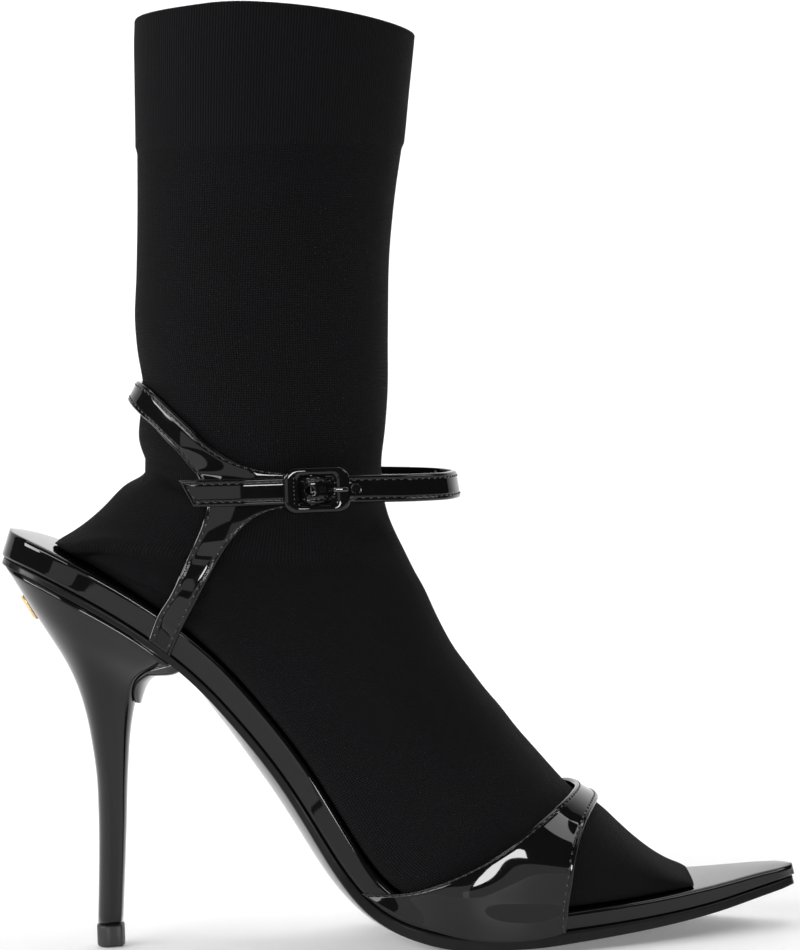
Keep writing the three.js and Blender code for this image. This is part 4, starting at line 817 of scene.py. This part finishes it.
def grid_normals(grid, closed=True):
    if closed:
        across = np.roll(grid, -1, 1) - np.roll(grid, 1, 1)
    else:
        across = np.gradient(grid, axis=1)
    along = np.gradient(grid, axis=0)
    return unit(np.cross(along, across))


# Kinks between the tables are eased out, but for the cuff's step and the two ends
keep = np.clip((stations - cuff_at - 0.01) / 0.02, 0, 1) * np.clip((0.995 - stations) / 0.02, 0, 1)
outer = mix(outer, soften(outer, 14), keep[:, None, None])
sock_normals = grid_normals(outer)
centre = outer.mean(1, keepdims=True)
if np.einsum("ijk,ijk->", sock_normals, outer - centre) < 0:
    sock_normals = -sock_normals

# Creases and ridges, as lines in the side view: x and z of points, depth (below 0 is a trough), width,
# and the side, -1 outer, 1 inner, 0 both
FOLDS = [
    ([(15.5, 132.0), (24, 130), (34, 127.0), (46, 123)], -2.4, 2.4, 0),
    ([(12.0, 139.5), (20, 138), (31, 136.0), (40, 133.5)], 1.3, 2.8, 0),
    ([(-12, 112.0), (-4, 112.8), (6, 113.4), (14, 113.4), (24, 112.6), (34, 113)], 2.9, 2.6, 0),
    ([(-8, 108.2), (0, 108.6), (8, 107.0), (18, 104.5), (28, 102), (36, 101)], -4.0, 3.6, 0),
    ([(14, 99), (24, 95.5), (33, 93)], -1.3, 3.6, 0),
    ([(6, 120), (16, 118.5), (28, 115.5), (38, 113)], 0.8, 3.2, 0),
    ([(22, 107), (32, 104), (40, 103)], 0.9, 3.4, 0),
    ([(66, 119), (74, 117), (80, 114)], -0.9, 3.6, 0),
    ([(52, 113), (66, 110), (80, 104)], 0.6, 4.5, 0),
    ([(40, 101), (54, 95), (70, 92)], -0.5, 5.0, 0),
    ([(24, 167), (36, 163), (52, 161)], -0.35, 5.0, 0),
    ([(30, 186), (46, 182), (64, 183)], 0.3, 6.0, 0),
]


def fold_height(grid, normals):
    height = np.zeros(grid.shape[:2])
    x, y, z = grid[..., 0], grid[..., 1], grid[..., 2]
    for line, depth, width, side in FOLDS:
        line = resample(np.array(line, float), step=1.0)
        share = np.linspace(0, 1, len(line))
        fade = np.minimum(1, np.minimum(share, 1 - share) / 0.28)
        strength = smooth(np.clip(fade, 0, 1))
        near = (np.abs(x - line[:, 0].mean()) < 45) & (np.abs(z - line[:, 1].mean()) < 25)
        if side:
            near &= y * side > 0
        px, pz = x[near][:, None], z[near][:, None]
        away = np.hypot(px - line[None, :, 0], pz - line[None, :, 1])
        best = away.argmin(1)
        amount = np.exp(-(away[np.arange(len(best)), best] / width)**2) * strength[best]
        height[near] += depth * amount * np.clip(np.abs(normals[..., 1][near]) * 1.25, 0, 1)
    return height


outer = outer + sock_normals * fold_height(outer, sock_normals)[..., None]

# The collar is a rounded lip, then the lining runs down inside
lip_turns = np.radians(np.linspace(0, 180, 9)[1:-1])
half_wall = (CUFF_STEP + KNIT_WALL) / 2
collar = []
for angle in lip_turns:
    gap = mix(CUFF_STEP, -KNIT_WALL, (1 - math.cos(angle)) / 2)
    ring = sock_point(np.zeros(AROUND), turns, gap)
    ring[:, 2] += half_wall * 0.9 * math.sin(angle)
    collar.append(ring)
inside_stations = np.interp(np.linspace(0, sock_run[-1] * 0.93, 34), sock_run, sock_at)
inner = sock_point(inside_stations[:, None], turns[None, :], -KNIT_WALL)
rings = np.concatenate([inner[::-1], np.array(collar)[::-1], outer])
verts, faces = sleeve(rings)
along_mm = np.interp(stations, sock_at, sock_run)
v_inner = -np.interp(inside_stations, sock_at, sock_run)
v_all = np.concatenate([v_inner[::-1], np.zeros(len(collar)), along_mm]) / 0.62
# The map counts each ring once; the wrap keeps its last wale whole, because the pattern repeats every wale
u_ring = np.arange(AROUND) * WALES / AROUND
uv = np.stack(np.broadcast_arrays(u_ring[None, :], v_all[:, None]), -1).reshape(-1, 2)
uv = np.vstack([uv, [[0, v_all[0]], [0, v_all[-1]]]])
cuff_rings = len(inner) + len(collar) + int((stations < cuff_at).sum())
face_look = [1 if (len(face) == 4 and face[0] // AROUND < cuff_rings) else 0 for face in faces]
sock = build("sock_knit", verts, faces, [jersey, ribbing], "knit", ["sock"], uv=uv, face_look=face_look)
# Where the ring closes, the map runs on past its last wale instead of jumping back
layer = sock.data.uv_layers["knit"]
flat_uv = np.empty(len(sock.data.loops) * 2, np.float32)
layer.data.foreach_get("uv", flat_uv)
flat_uv = flat_uv.reshape(-1, 2)
starts = np.empty(len(sock.data.polygons), np.int32)
sock.data.polygons.foreach_get("loop_start", starts)
totals = np.empty(len(sock.data.polygons), np.int32)
sock.data.polygons.foreach_get("loop_total", totals)
quads = starts[totals == 4][:, None] + np.arange(4)
wraps = np.ptp(flat_uv[quads, 0], axis=1) > WALES / 2
chosen = quads[wraps]
flat_uv[chosen, 0] = np.where(flat_uv[chosen, 0] < WALES / 2, flat_uv[chosen, 0] + WALES, flat_uv[chosen, 0])
layer.data.foreach_set("uv", flat_uv.ravel())


# ---- Straps ----

EDGE_PLACES = np.array([0, 0.04, 0.12, 0.24, 0.4, 0.6, 0.8, 1.0, 1.15, 1.3, 1.45, 1.65, 1.9, 2.3])
STITCH_IN = 1.3
STITCH_COLUMN = int(np.argmin(np.abs(EDGE_PLACES - STITCH_IN)))
FOLD_ROUND = 0.7


def edge_profile(d, thickness=STRAP):
    """Height of a folded edge at a distance from it: a rounded roll, then the stitch line's shallow trough."""
    near = np.clip(d, 0, FOLD_ROUND)
    rise = thickness - FOLD_ROUND + np.sqrt(np.maximum(0, 2 * FOLD_ROUND * near - near**2))
    return rise - 0.13 * np.exp(-((d - STITCH_IN) / 0.32)**2) + 0.05 * np.exp(-((d - 0.75) / 0.3)**2)


# A point inside the straps, so that their outer faces turn away from it
STRAPS_MIDDLE = np.array([60, 0, 60])


def band_shares(width, middle_count):
    """Places across a band of this width: fine near both edges."""
    edge = np.minimum(EDGE_PLACES, width / 2 - 0.02) / width
    inner_edge = edge[-1]
    middle = np.linspace(inner_edge, 1 - inner_edge, middle_count + 2)[1:-1]
    return np.concatenate([edge, middle, 1 - edge[::-1]])


def band(place_rows, count, middle_count, step, even):
    """Outer and inner grids of a folded strap. place_rows(row, shares) gives base points."""
    lines = resample(np.array([place_rows(i, np.array([0, 0.5, 1])) for i in range(count)]), step=step)
    lines = soften(lines, even)
    widths = np.linalg.norm(np.diff(lines, axis=1), axis=2).sum(1)
    share = np.array([band_shares(width, middle_count) for width in widths])[..., None]
    grid = ((1 - share) * (1 - 2 * share) * lines[:, :1] + 4 * share * (1 - share) * lines[:, 1:2]
            + share * (2 * share - 1) * lines[:, 2:])
    normals = grid_normals(grid, closed=False)
    if np.einsum("ijk,ijk->", normals, grid - STRAPS_MIDDLE) < 0:
        normals = -normals
    leap = np.linalg.norm(np.diff(grid, axis=1), axis=-1)
    along = np.concatenate([np.zeros((len(grid), 1)), np.cumsum(leap, axis=1)], axis=1)
    from_edge = np.minimum(along, along[:, -1:] - along)
    face = grid + normals * edge_profile(from_edge)[..., None]
    back = grid + normals * (0.12 * np.exp(-(from_edge / 0.25)**2))[..., None]
    return face, back, normals


def band_mesh(name, face, back, replaces=()):
    rings = np.concatenate([face, back[:, ::-1]], axis=1)
    return build(name, *sleeve(rings), patent, "patent", replaces)


def bead(length, width, height, around=8, rows=5):
    """A stitch: a small long bead, as unit rings."""
    angles = np.linspace(0, 2 * math.pi, around, endpoint=False)
    out = []
    for share in np.linspace(-1, 1, rows + 2)[1:-1]:
        r = math.sqrt(1 - abs(share)**2.5)
        out.append(points(share * length / 2, np.cos(angles) * width / 2 * r, np.sin(angles) * height / 2 * r))
    return np.array(out)


def stitches(name, paths, pitch=2.2, length=1.45, width=0.6, height=0.55):
    """Beads along paths of (places, normals)."""
    shape = bead(length, width, height)
    verts, faces = [], []
    for path, normals in paths:
        run = np.concatenate([[0], np.cumsum(np.linalg.norm(np.diff(path, axis=0), axis=1))])
        count = max(1, int(run[-1] / pitch))
        spots = (np.arange(count) + 0.5) * run[-1] / count
        for spot in spots:
            def read(table, s):
                return np.array([np.interp(s, run, table[:, k]) for k in range(3)])
            centre = read(path, spot)
            way = unit(read(path, min(spot + 0.3, run[-1])) - read(path, max(spot - 0.3, 0)))
            out = unit(read(normals, spot))
            across = unit(np.cross(out, way))
            rings = shape[..., :1] * way + shape[..., 1:2] * across + shape[..., 2:3] * unit(np.cross(way, across))
            v, f = sleeve(rings + centre)
            start = sum(map(len, verts))
            faces.extend([i + start for i in face] for face in f)
            verts.append(v)
    return build(name, np.vstack(verts), faces, thread, "patent")


def rim_place(from_along, to_along, height, side, shares, offset=0.0):
    along = mix(from_along, to_along, shares)
    y = side * (half_width(along, side) + STRAP_GAP + offset)
    return last_point(along, y, height * footbed_top(along))


VAMP_ROWS = np.array([
    (128, 0.798, 0.914, 0.35), (116, 0.818, 0.911, 0.70), (101, 0.833, 0.907, 1.0), (88, 0.842, 0.903, 1.0),
    (75, 0.849, 0.900, 1.0), (62, 0.856, 0.898, 1.0), (48, 0.863, 0.898, 1.0), (34, 0.870, 0.900, 1.0),
    (18, 0.876, 0.903, 1.0), (0, 0.880, 0.906, 1.0),
])
VAMP_FOOT_ROWS = [(0, 0.447, 0.697), (0.5, 0.459, 0.700), (1, 0.476, 0.702)]


# The vamp strap bridges the hollows of the sock by this much
VAMP_EASE = 0.4


def vamp_place(row, side, shares):
    turn, back, front, ease = row
    place = sock_point(mix(back, front, shares), -side * turn, STRAP_GAP + VAMP_EASE)
    if ease < 1:
        rim_row = VAMP_FOOT_ROWS[-1]
        rim = half_width(mix(rim_row[1], rim_row[2], shares), side) + STRAP_GAP
        reach = np.abs(place[:, 1])
        place[:, 1] = side * np.maximum(reach, mix(rim, reach, ease))
    return place


vamp_rows = []
for side in (-1, 1):
    half = [("rim", row, side) for row in VAMP_FOOT_ROWS] + [("sock", row, side) for row in VAMP_ROWS]
    vamp_rows += half if side < 0 else half[::-1][1:]


def vamp_at(i, shares):
    kind, row, side = vamp_rows[i]
    if kind == "rim":
        return rim_place(row[1], row[2], row[0], side, shares)
    return vamp_place(row, side, shares)


vamp_face, vamp_back, vamp_normals = band(vamp_at, len(vamp_rows), 34, 0.6, 90)
band_mesh("vamp_strap_patent", vamp_face, vamp_back, ["vamp_strap"])


def edge_paths(face, normals, lift=0.03, skip=(2, 2)):
    """The two stitch lines of a band."""
    last = face.shape[1] - 1
    picked = slice(skip[0], len(face) - skip[1])
    return [(face[picked, k] + normals[picked, k] * lift, normals[picked, k])
            for k in (STITCH_COLUMN, last - STITCH_COLUMN)]


stitches("vamp_stitches", edge_paths(vamp_face, vamp_normals))

ANKLE_STRAP_Z = ANKLE_Z - ANKLE_STRAP_DROP
QUARTER_FOOT = (0.191, 0.217, 0.184, 0.211)
quarter_rise = ANKLE_STRAP_Z - last_point(QUARTER_FOOT[2], 0, footbed_top(QUARTER_FOOT[2]))[2]
QUARTER_ROWS = [
    (-0.386, -0.850, -0.302, -0.975), (-0.350, -0.695, -0.243, -0.745), (-0.316, -0.540, -0.191, -0.560),
    (-0.286, -0.420, -0.156, -0.440), (-0.262, -0.320, -0.104, -0.315), (-0.246, -0.235, -0.053, -0.220),
    (-0.237, -0.155, -0.003, -0.168), (-0.235, -0.090, 0.071, -0.138), (-0.237, -0.045, 0.150, -0.125),
    (-0.240, -0.008, 0.190, -0.105), (-0.244, 0.026, 0.203, 0.000), (-0.250, 0.060, 0.190, 0.105),
    (-0.257, 0.093, 0.150, 0.122), (-0.266, 0.132, 0.071, 0.124), (-0.277, 0.178, -0.081, 0.212),
    (-0.299, 0.240, -0.157, 0.304), (-0.321, 0.302, -0.224, 0.412), (-0.350, 0.376, -0.279, 0.538),
    (-0.393, 0.465, -0.324, 0.634),
]
SLING_ROWS = [
    (141, 0.600, 0.885, 0.20, 0.20), (152, 0.700, 0.985, 0.55, 0.20), (166, 0.800, 1.030, 1.40, 0.25),
    (180, 0.848, 1.035, 2.07, 0.33),
]


def quarter_at(i, shares):
    kind, row, side = quarter_rows[i]
    if kind == "rim":
        return rim_place(row[0], row[1], row[2], side, shares)
    if kind == "side":
        x = SHAFT_FORWARD + mix(row[0], row[2], shares) * SHAFT_DEPTH
        z = ANKLE_STRAP_Z + mix(row[1], row[3], shares) * quarter_rise
        return sock_beside(x, z, side, STRAP_GAP)
    turn, low, high, low_gap, high_gap = row
    z = ANKLE_STRAP_Z + mix(low, high, shares) * SLING_RISE
    return sock_around(-side * turn, z, mix(low_gap, high_gap, shares) * STRAP)


quarter_rows = []
for side in (-1, 1):
    half = [("rim", (QUARTER_FOOT[0], QUARTER_FOOT[1], 0), side), ("rim", (QUARTER_FOOT[2], QUARTER_FOOT[3], 1), side)]
    half += [("side", row, side) for row in QUARTER_ROWS] + [("sling", row, side) for row in SLING_ROWS]
    quarter_rows += half if side < 0 else half[::-1][1:]

quarter_face, quarter_back, quarter_normals = band(quarter_at, len(quarter_rows), 16, 0.55, 30)
band_mesh("quarter_strap_patent", quarter_face, quarter_back, ["quarter_and_ankle_strap"])
stitches("quarter_stitches", edge_paths(quarter_face, quarter_normals))

# Ankle strap: places are s along it, h up and n outwards from the quarter strap's face
loop_ahead = read_curve([0, 15, 30, 45, 60, 75, 150], [1.0, 0.9, 0.625, 0.265, 0.045, 0.0, 0.0])
BUCKLE_TURN, LOOP_END = 64, 140
loop_turns = np.arange(LOOP_END, -LOOP_END - 1, -1.0)
loop_out = loop_ahead(np.abs(loop_turns))
loop_path = sock_around(loop_turns, ANKLE_STRAP_Z, STRAP_GAP + STRAP + LOOP_REACH * loop_out)
loop_path = soften(loop_path, 10)
loop_run = np.concatenate([[0], np.cumsum(np.linalg.norm(np.diff(loop_path, axis=0), axis=1))])
buckle_run = loop_run[LOOP_END - BUCKLE_TURN]


def loop_middle(s):
    run = np.clip(np.asarray(s, float) + buckle_run, 0, loop_run[-1])
    place = np.stack([np.interp(run, loop_run, loop_path[:, k]) for k in range(3)], -1)
    return place, np.interp(run, loop_run, loop_out)


def loop_place(s, h, n):
    s, h, n = np.broadcast_arrays(np.asarray(s, float), np.asarray(h, float), np.asarray(n, float))
    way = unit(loop_middle(s + 1.5)[0] - loop_middle(s - 1.5)[0])
    place, ahead = loop_middle(s)
    out = n - h * ahead * math.tan(math.radians(LOOP_TILT))
    return points(place[..., 0] + way[..., 1] * out, place[..., 1] - way[..., 0] * out,
                  place[..., 2] + h - LOOP_DROOP * ahead)


THREAD_ROWS = [
    (-1.96, 0.36), (-1.20, 0.24), (-0.50, 0.24), (-0.285, 0.24), (-0.20, 0.90), (-0.11, 1.80), (-0.03, 1.88),
    (0.06, 1.30), (0.15, 0.66), (0.25, 0.25), (0.50, 0.24), (1.20, 0.20), (2.20, 0.00), (4.50, -0.45), (9.00, -0.45),
]
thread_over, = read_table(THREAD_ROWS)


def band_face(s):
    return thread_over(np.asarray(s) / FRAME_LENGTH) * STRAP


FRAME_FLOOR = STRAP * 1.24 + GAP
loop_s = np.linspace(0, loop_run[-1] - buckle_run, 2000)
loop_m = loop_middle(loop_s)[0]
sewn_to = loop_s[np.argmax((loop_m[:, 1] >= 0) & (loop_m[:, 0] <= SHAFT_FORWARD))] + SEWN_LENGTH / 2

ankle_s = np.concatenate([
    np.linspace(-TAIL_LENGTH, -FRAME_LENGTH / 2, 40), np.linspace(-FRAME_LENGTH / 2, FRAME_LENGTH / 2, 61)[1:],
    np.linspace(FRAME_LENGTH / 2, sewn_to, 190)[1:]])
ankle_shares = band_shares(ANKLE_STRAP_WIDTH, 6)
ankle_h = (ankle_shares - 0.5) * ANKLE_STRAP_WIDTH
end_places = np.array([0, 0.06, 0.2, 0.45, 0.75, 1.1])
ankle_s = np.sort(np.unique(np.concatenate([ankle_s, -TAIL_LENGTH + end_places, sewn_to - end_places])))


def tail_slant(s):
    return TAIL_SLANT * np.clip((-FRAME_LENGTH / 2 - s) / (TAIL_LENGTH - FRAME_LENGTH / 2), 0, 1)**2


grid_s = ankle_s[:, None] - tail_slant(ankle_s)[:, None] * (ankle_shares - 0.5)[None, :]
grid_h = np.broadcast_to(ankle_h[None, :], grid_s.shape)
side_edge = np.minimum(ankle_shares, 1 - ankle_shares)[None, :] * ANKLE_STRAP_WIDTH
end_edge = np.minimum(ankle_s + TAIL_LENGTH, sewn_to - ankle_s)[:, None]
from_edge = np.minimum(side_edge, end_edge)
face_n = band_face(grid_s) + edge_profile(from_edge)
back_n = band_face(grid_s) + 0.12 * np.exp(-(from_edge / 0.25)**2)
ankle_face = loop_place(grid_s, grid_h, face_n)
ankle_back = loop_place(grid_s, grid_h, back_n)
ankle = band_mesh("ankle_strap_patent", ankle_face, ankle_back)


def cut_with(piece, cutters):
    """Cuts closed meshes out of a piece, for good."""
    for cutter in cutters:
        tool = piece.modifiers.new("cut", "BOOLEAN")
        tool.operation = "DIFFERENCE"
        tool.solver = "EXACT"
        tool.object = cutter
    bpy.context.view_layer.update()
    shown = piece.evaluated_get(bpy.context.evaluated_depsgraph_get())
    mesh = bpy.data.meshes.new_from_object(shown)
    piece.modifiers.clear()
    old = piece.data
    piece.data = mesh
    bpy.data.meshes.remove(old)
    for cutter in cutters:
        bpy.data.objects.remove(cutter)


def hole_pin(s):
    angles = np.linspace(0, 2 * math.pi, 28, endpoint=False)
    face = float(band_face(s))
    rings = []
    for n, r in ((-1.5, 1.0), (STRAP - 0.25, 1.0), (STRAP - 0.05, 1.1), (STRAP + 0.25, 1.45), (STRAP + 1.5, 1.9)):
        radius = HOLE_DIAMETER / 2 * r * 0.92
        rings.append(loop_place(s + radius * np.cos(angles), radius * np.sin(angles), face + n))
    verts, faces = sleeve(rings)
    mesh = bpy.data.meshes.new("pin")
    mesh.from_pydata((verts * MM).tolist(), [], faces)
    mesh.update()
    pin = bpy.data.objects.new("pin", mesh)
    bpy.context.scene.collection.objects.link(pin)
    outward(pin)
    return pin


cut_with(ankle, [hole_pin(HOLE_AHEAD + k * HOLE_SPACING) for k in (-1, 0, 1)])


def straight(a, b, step=0.5):
    count = max(2, int(np.hypot(b[0] - a[0], b[1] - a[1]) / step) + 1)
    share = np.linspace(0, 1, count)[:, None]
    return np.array(a)[None, :] * (1 - share) + np.array(b)[None, :] * share


def path_of(line):
    s, h = line[:, 0], line[:, 1]
    face = band_face(s) + STRAP - 0.08
    at = loop_place(s, h, face)
    return at, unit(loop_place(s, h, face + 1) - at)


side_h = ANKLE_STRAP_WIDTH / 2 - STITCH_IN
tail_top = -TAIL_LENGTH - TAIL_SLANT * (0.5 - STITCH_IN / ANKLE_STRAP_WIDTH) + STITCH_IN
tail_low = -TAIL_LENGTH + TAIL_SLANT * (0.5 - STITCH_IN / ANKLE_STRAP_WIDTH) + STITCH_IN
sewn_end = sewn_to - STITCH_IN
stitches("ankle_stitches", [
    path_of(straight((tail_top, side_h), (sewn_end, side_h))),
    path_of(straight((tail_low, -side_h), (sewn_end, -side_h))),
    path_of(straight((tail_top + 0.4, side_h - 0.6), (tail_low + 0.2, -side_h + 0.6))),
    path_of(straight((sewn_end, side_h - 0.8), (sewn_end, -side_h + 0.8))),
])


# ---- Buckle and prong ----

FRAME_HEIGHT = ANKLE_STRAP_WIDTH + 2 * GAP + 2 * FRAME_BAR
CORNER_PARTS, STRAIGHT_PARTS = 14, 12


def rounded_frame(length, height, radius):
    places = []
    for quadrant, (ss, hs) in enumerate([(1, 1), (-1, 1), (-1, -1), (1, -1)]):
        angles = np.radians(90 * (quadrant + np.linspace(0, 1, CORNER_PARTS)))
        arc = np.stack([ss * (length / 2 - radius) + radius * np.cos(angles),
                        hs * (height / 2 - radius) + radius * np.sin(angles)], -1)
        if places:
            gap = np.linspace(0, 1, STRAIGHT_PARTS)[1:-1, None]
            places.append(places[-1][-1] * (1 - gap) + arc[0] * gap)
        places.append(arc)
    gap = np.linspace(0, 1, STRAIGHT_PARTS)[1:-1, None]
    places.append(places[-1][-1] * (1 - gap) + places[0][0] * gap)
    return np.vstack(places)


frame_outside = rounded_frame(FRAME_LENGTH, FRAME_HEIGHT, FRAME_CORNER)
frame_window = rounded_frame(FRAME_LENGTH - 2 * FRAME_END_BAR, FRAME_HEIGHT - 2 * FRAME_BAR, WINDOW_CORNER)
section_angles = np.linspace(0, 2 * math.pi, 28, endpoint=False)
round_c, round_s = np.cos(section_angles), np.sin(section_angles)
section_across = 0.5 - 0.5 * np.sign(round_c) * np.abs(round_c)**0.75
section_up = np.where(round_s > 0, 0.45 + 0.55 * np.abs(round_s)**0.75, 0.45 - 0.45 * np.abs(round_s)**0.6)
frame_rings = []
for (s, h), (ws, wh) in zip(frame_outside, frame_window):
    frame_rings.append(loop_place(mix(s, ws, section_across), mix(h, wh, section_across),
                                  FRAME_FLOOR + section_up * FRAME_THICKNESS))
build("buckle_frame_patent", *sleeve(frame_rings, close_rings=True), patent, "patent", ["buckle_frame"])


def pin_ring(s, n, wide, high, h, sides=16):
    angles = np.linspace(0, 2 * math.pi, sides, endpoint=False)
    return loop_place(s + wide / 2 * np.cos(angles), h, n + high / 2 * np.sin(angles))


bar_reach = (FRAME_HEIGHT - FRAME_BAR) / 2
bar_rings = [pin_ring(-BAR_SETBACK, FRAME_FLOOR, CENTRE_BAR, CENTRE_BAR, h)
             for h in np.linspace(-bar_reach, bar_reach, 9)]
build("buckle_centre_bar", *sleeve(bar_rings), enamel, "prong_enamel")

PRONG_TOP = FRAME_FLOOR + FRAME_THICKNESS + GAP + PRONG_THICKNESS / 2
PRONG_ROWS = np.array([
    (-BAR_SETBACK + CENTRE_BAR / 2 + GAP, FRAME_FLOOR - GAP), (0.6, 1.15), (HOLE_AHEAD - 2.0, 0.35),
    (HOLE_AHEAD - 0.9, 0.05), (HOLE_AHEAD - 0.15, 0.45), (HOLE_AHEAD + 0.02, 2.4), (HOLE_AHEAD + 0.1, 3.6),
    (HOLE_AHEAD + 0.55, PRONG_TOP - 0.1), (HOLE_AHEAD + 1.4, PRONG_TOP), (HOLE_AHEAD + 3.4, PRONG_TOP),
    (HOLE_AHEAD + 4.3, PRONG_TOP - 0.15),
])
prong_line = resample(np.column_stack([PRONG_ROWS, np.zeros(len(PRONG_ROWS))]), count=60)
prong_way = unit(np.gradient(prong_line, axis=0))
prong_rings = []
for i, (s, n) in enumerate(prong_line[:, :2]):
    out_s, out_n = -prong_way[i, 1], prong_way[i, 0]
    left = len(prong_line) - 1 - i
    narrow = math.sqrt(1 - max(0, 1 - left / 3.5)**2) * 0.97 + 0.03
    angles = np.linspace(0, 2 * math.pi, 20, endpoint=False)
    across = np.sign(np.cos(angles)) * np.abs(np.cos(angles))**0.7 * narrow * PRONG_WIDTH / 2
    off = np.sign(np.sin(angles)) * np.abs(np.sin(angles))**0.7 * narrow * PRONG_THICKNESS / 2
    prong_rings.append(loop_place(s + out_s * off, across, n + out_n * off))
build("buckle_prong_enamel", *sleeve(prong_rings), enamel, "prong_enamel", ["buckle_prong"])

# A row of stitches across the rear end bar
bar_s = -FRAME_LENGTH / 2 + 2.6
bar_h = np.linspace(-3.9, 3.9, 40)
bar_face = FRAME_FLOOR + FRAME_THICKNESS * 0.985
row = loop_place(bar_s, bar_h, bar_face)
stitches("buckle_stitches", [(row, unit(loop_place(bar_s, bar_h, bar_face + 1) - row))], pitch=0.98, length=0.72,
         width=0.4, height=0.3)


# ---- Plain plate on the heel ----

def plate_ring(share):
    middle, lower = heel_section(PLATE_AT)[0], heel_section(PLATE_AT + 0.2)[0]
    out = unit(np.array([lower[2] - middle[2], 0, middle[0] - lower[0]]))
    place = PLATE_AT + (share - 0.5) * PLATE_LENGTH / np.linalg.norm(middle - lower) * 0.2
    back, front, half, corner_share, breast = heel_section(place)
    wide = PLATE_WIDTH / 2 * math.sqrt(max(0.02, 1 - (2 * share - 1)**4))
    across = np.linspace(-1, 1, 17)
    y = across * wide
    round_back = 0.5 * (1 - np.sqrt(1 - (y / half)**2)) * (1 - breast)
    base = back + (front - back) * round_back[:, None]
    base[:, 1] = y
    end = math.sqrt(max(0, 1 - (2 * share - 1)**8))
    high = GAP + PLATE_THICKNESS * (0.35 + 0.65 * np.sqrt(np.maximum(0, 1 - across**6)) * end)
    return np.vstack([base + out * GAP, (base + out * high[:, None])[::-1]])


plate_shares = (1 - np.cos(np.linspace(0, math.pi, 41))) / 2
build("heel_plate_gold", *sleeve([plate_ring(share) for share in plate_shares]), gold, "gold", ["heel_plate"])


# ---- Stage, camera and lights ----

def stage_look(name, colour, rough):
    look, tree, shader = material(name)
    coords = node(tree, "ShaderNodeTexCoord").outputs["Object"]
    vary(tree, shader, "Base Color", noise(tree, coords, 3, 2), tuple(c * 0.985 for c in colour), colour)
    shader.inputs["Roughness"].default_value = rough
    shader.inputs["Specular IOR Level"].default_value = 0.2
    shader.inputs["Emission Color"].default_value = (1, 1, 1, 1)
    shader.inputs["Emission Strength"].default_value = 0.16
    return look


def sweep():
    """A pale floor that turns up into a backdrop behind the shoe."""
    # The front edge is near: the patent mirrors the dark beyond it, as in the photo
    front, back, bend, high = -0.45, 1.1, 0.6, 2.4
    profile = [(front, 0.0), (-0.15, 0.0), (0.3, 0.0), (back, 0.0)]
    for angle in np.linspace(0, 90, 16)[1:]:
        a = math.radians(angle)
        profile.append((back + bend * math.sin(a), bend - bend * math.cos(a)))
    profile.append((back + bend, high))
    xs = np.linspace(-2.2, 2.4, 12)
    verts = [(x, y, z - 0.0002) for y, z in profile for x in xs]
    faces = []
    for r in range(len(profile) - 1):
        for i in range(len(xs) - 1):
            a = r * len(xs) + i
            faces.append([a, a + 1, a + len(xs) + 1, a + len(xs)])
    mesh = bpy.data.meshes.new("studio_floor")
    mesh.from_pydata(verts, [], faces)
    mesh.materials.append(stage_look("pale_paper", (0.9, 0.9, 0.9), 0.6))
    mesh.polygons.foreach_set("use_smooth", [True] * len(mesh.polygons))
    mesh.update()
    floor = bpy.data.objects.new("studio_floor", mesh)
    bpy.context.scene.collection.objects.link(floor)


sweep()


def softbox(name, at, target, size, bright):
    """A rectangular light; bright is how many times brighter than plain white it looks."""
    data = bpy.data.lights.new(name, "AREA")
    data.shape = "RECTANGLE"
    data.size, data.size_y = size
    data.energy = bright * math.pi * size[0] * size[1]
    lamp = bpy.data.objects.new(name, data)
    way = Vector(target) - Vector(at)
    lamp.location = at
    lamp.rotation_euler = way.to_track_quat("-Z", "Y").to_euler()
    bpy.context.scene.collection.objects.link(lamp)


softbox("overhead", (0.1, 0.35, 1.6), (0.08, 0.3, 0), (1.6, 1.2), 1.15)
softbox("backdrop_wash", (0.1, 0.5, 1.5), (0.1, 1.7, 0.6), (2.4, 0.5), 4.5)
softbox("left_box", (-1.18, -0.12, 0.5), (0, 0, 0.15), (0.6, 0.25), 13)
softbox("left_high_box", (-0.82, -0.75, 0.62), (0.03, 0, 0.15), (0.9, 0.3), 8)
softbox("front_box", (0.18, -1.25, 0.23), (0.11, 0, 0.04), (0.48, 0.13), 26)
softbox("right_box", (1.1, -0.15, 0.9), (0.13, 0, 0.05), (0.9, 0.4), 4)
softbox("left_card", (-0.66, -1.1, 0.1), (0.03, 0, 0.1), (1.3, 0.3), 0.9)
softbox("low_card", (0.2, -0.48, 0.02), (0.1, 0, 0.02), (0.42, 0.05), 0.8)

world = bpy.data.worlds.new("studio")
bpy.context.scene.world = world
world.use_nodes = True
world.node_tree.nodes["Background"].inputs["Color"].default_value = (1, 1, 1, 1)
world.node_tree.nodes["Background"].inputs["Strength"].default_value = 0.02

camera_data = bpy.data.cameras.new("camera")
camera = bpy.data.objects.new("camera", camera_data)
bpy.context.scene.collection.objects.link(camera)
spot = Vector((0.0848, -1.0, 0.175))
forward = (Vector((0.0848, 0.0, 0.1289)) - spot).normalized()
right = forward.cross(Vector((0, 0, 1))).normalized()
up = right.cross(forward)
roll = math.radians(1.8)
right, up = right * math.cos(roll) - up * math.sin(roll), right * math.sin(roll) + up * math.cos(roll)
turned = Matrix((right, up, -forward)).transposed()
camera.matrix_world = Matrix.Translation(spot) @ turned.to_4x4()
camera_data.lens = 136.4
camera_data.sensor_width = 36
camera_data.clip_start = 0.01
bpy.context.scene.camera = camera
bpy.context.scene.view_settings.view_transform = "Standard"
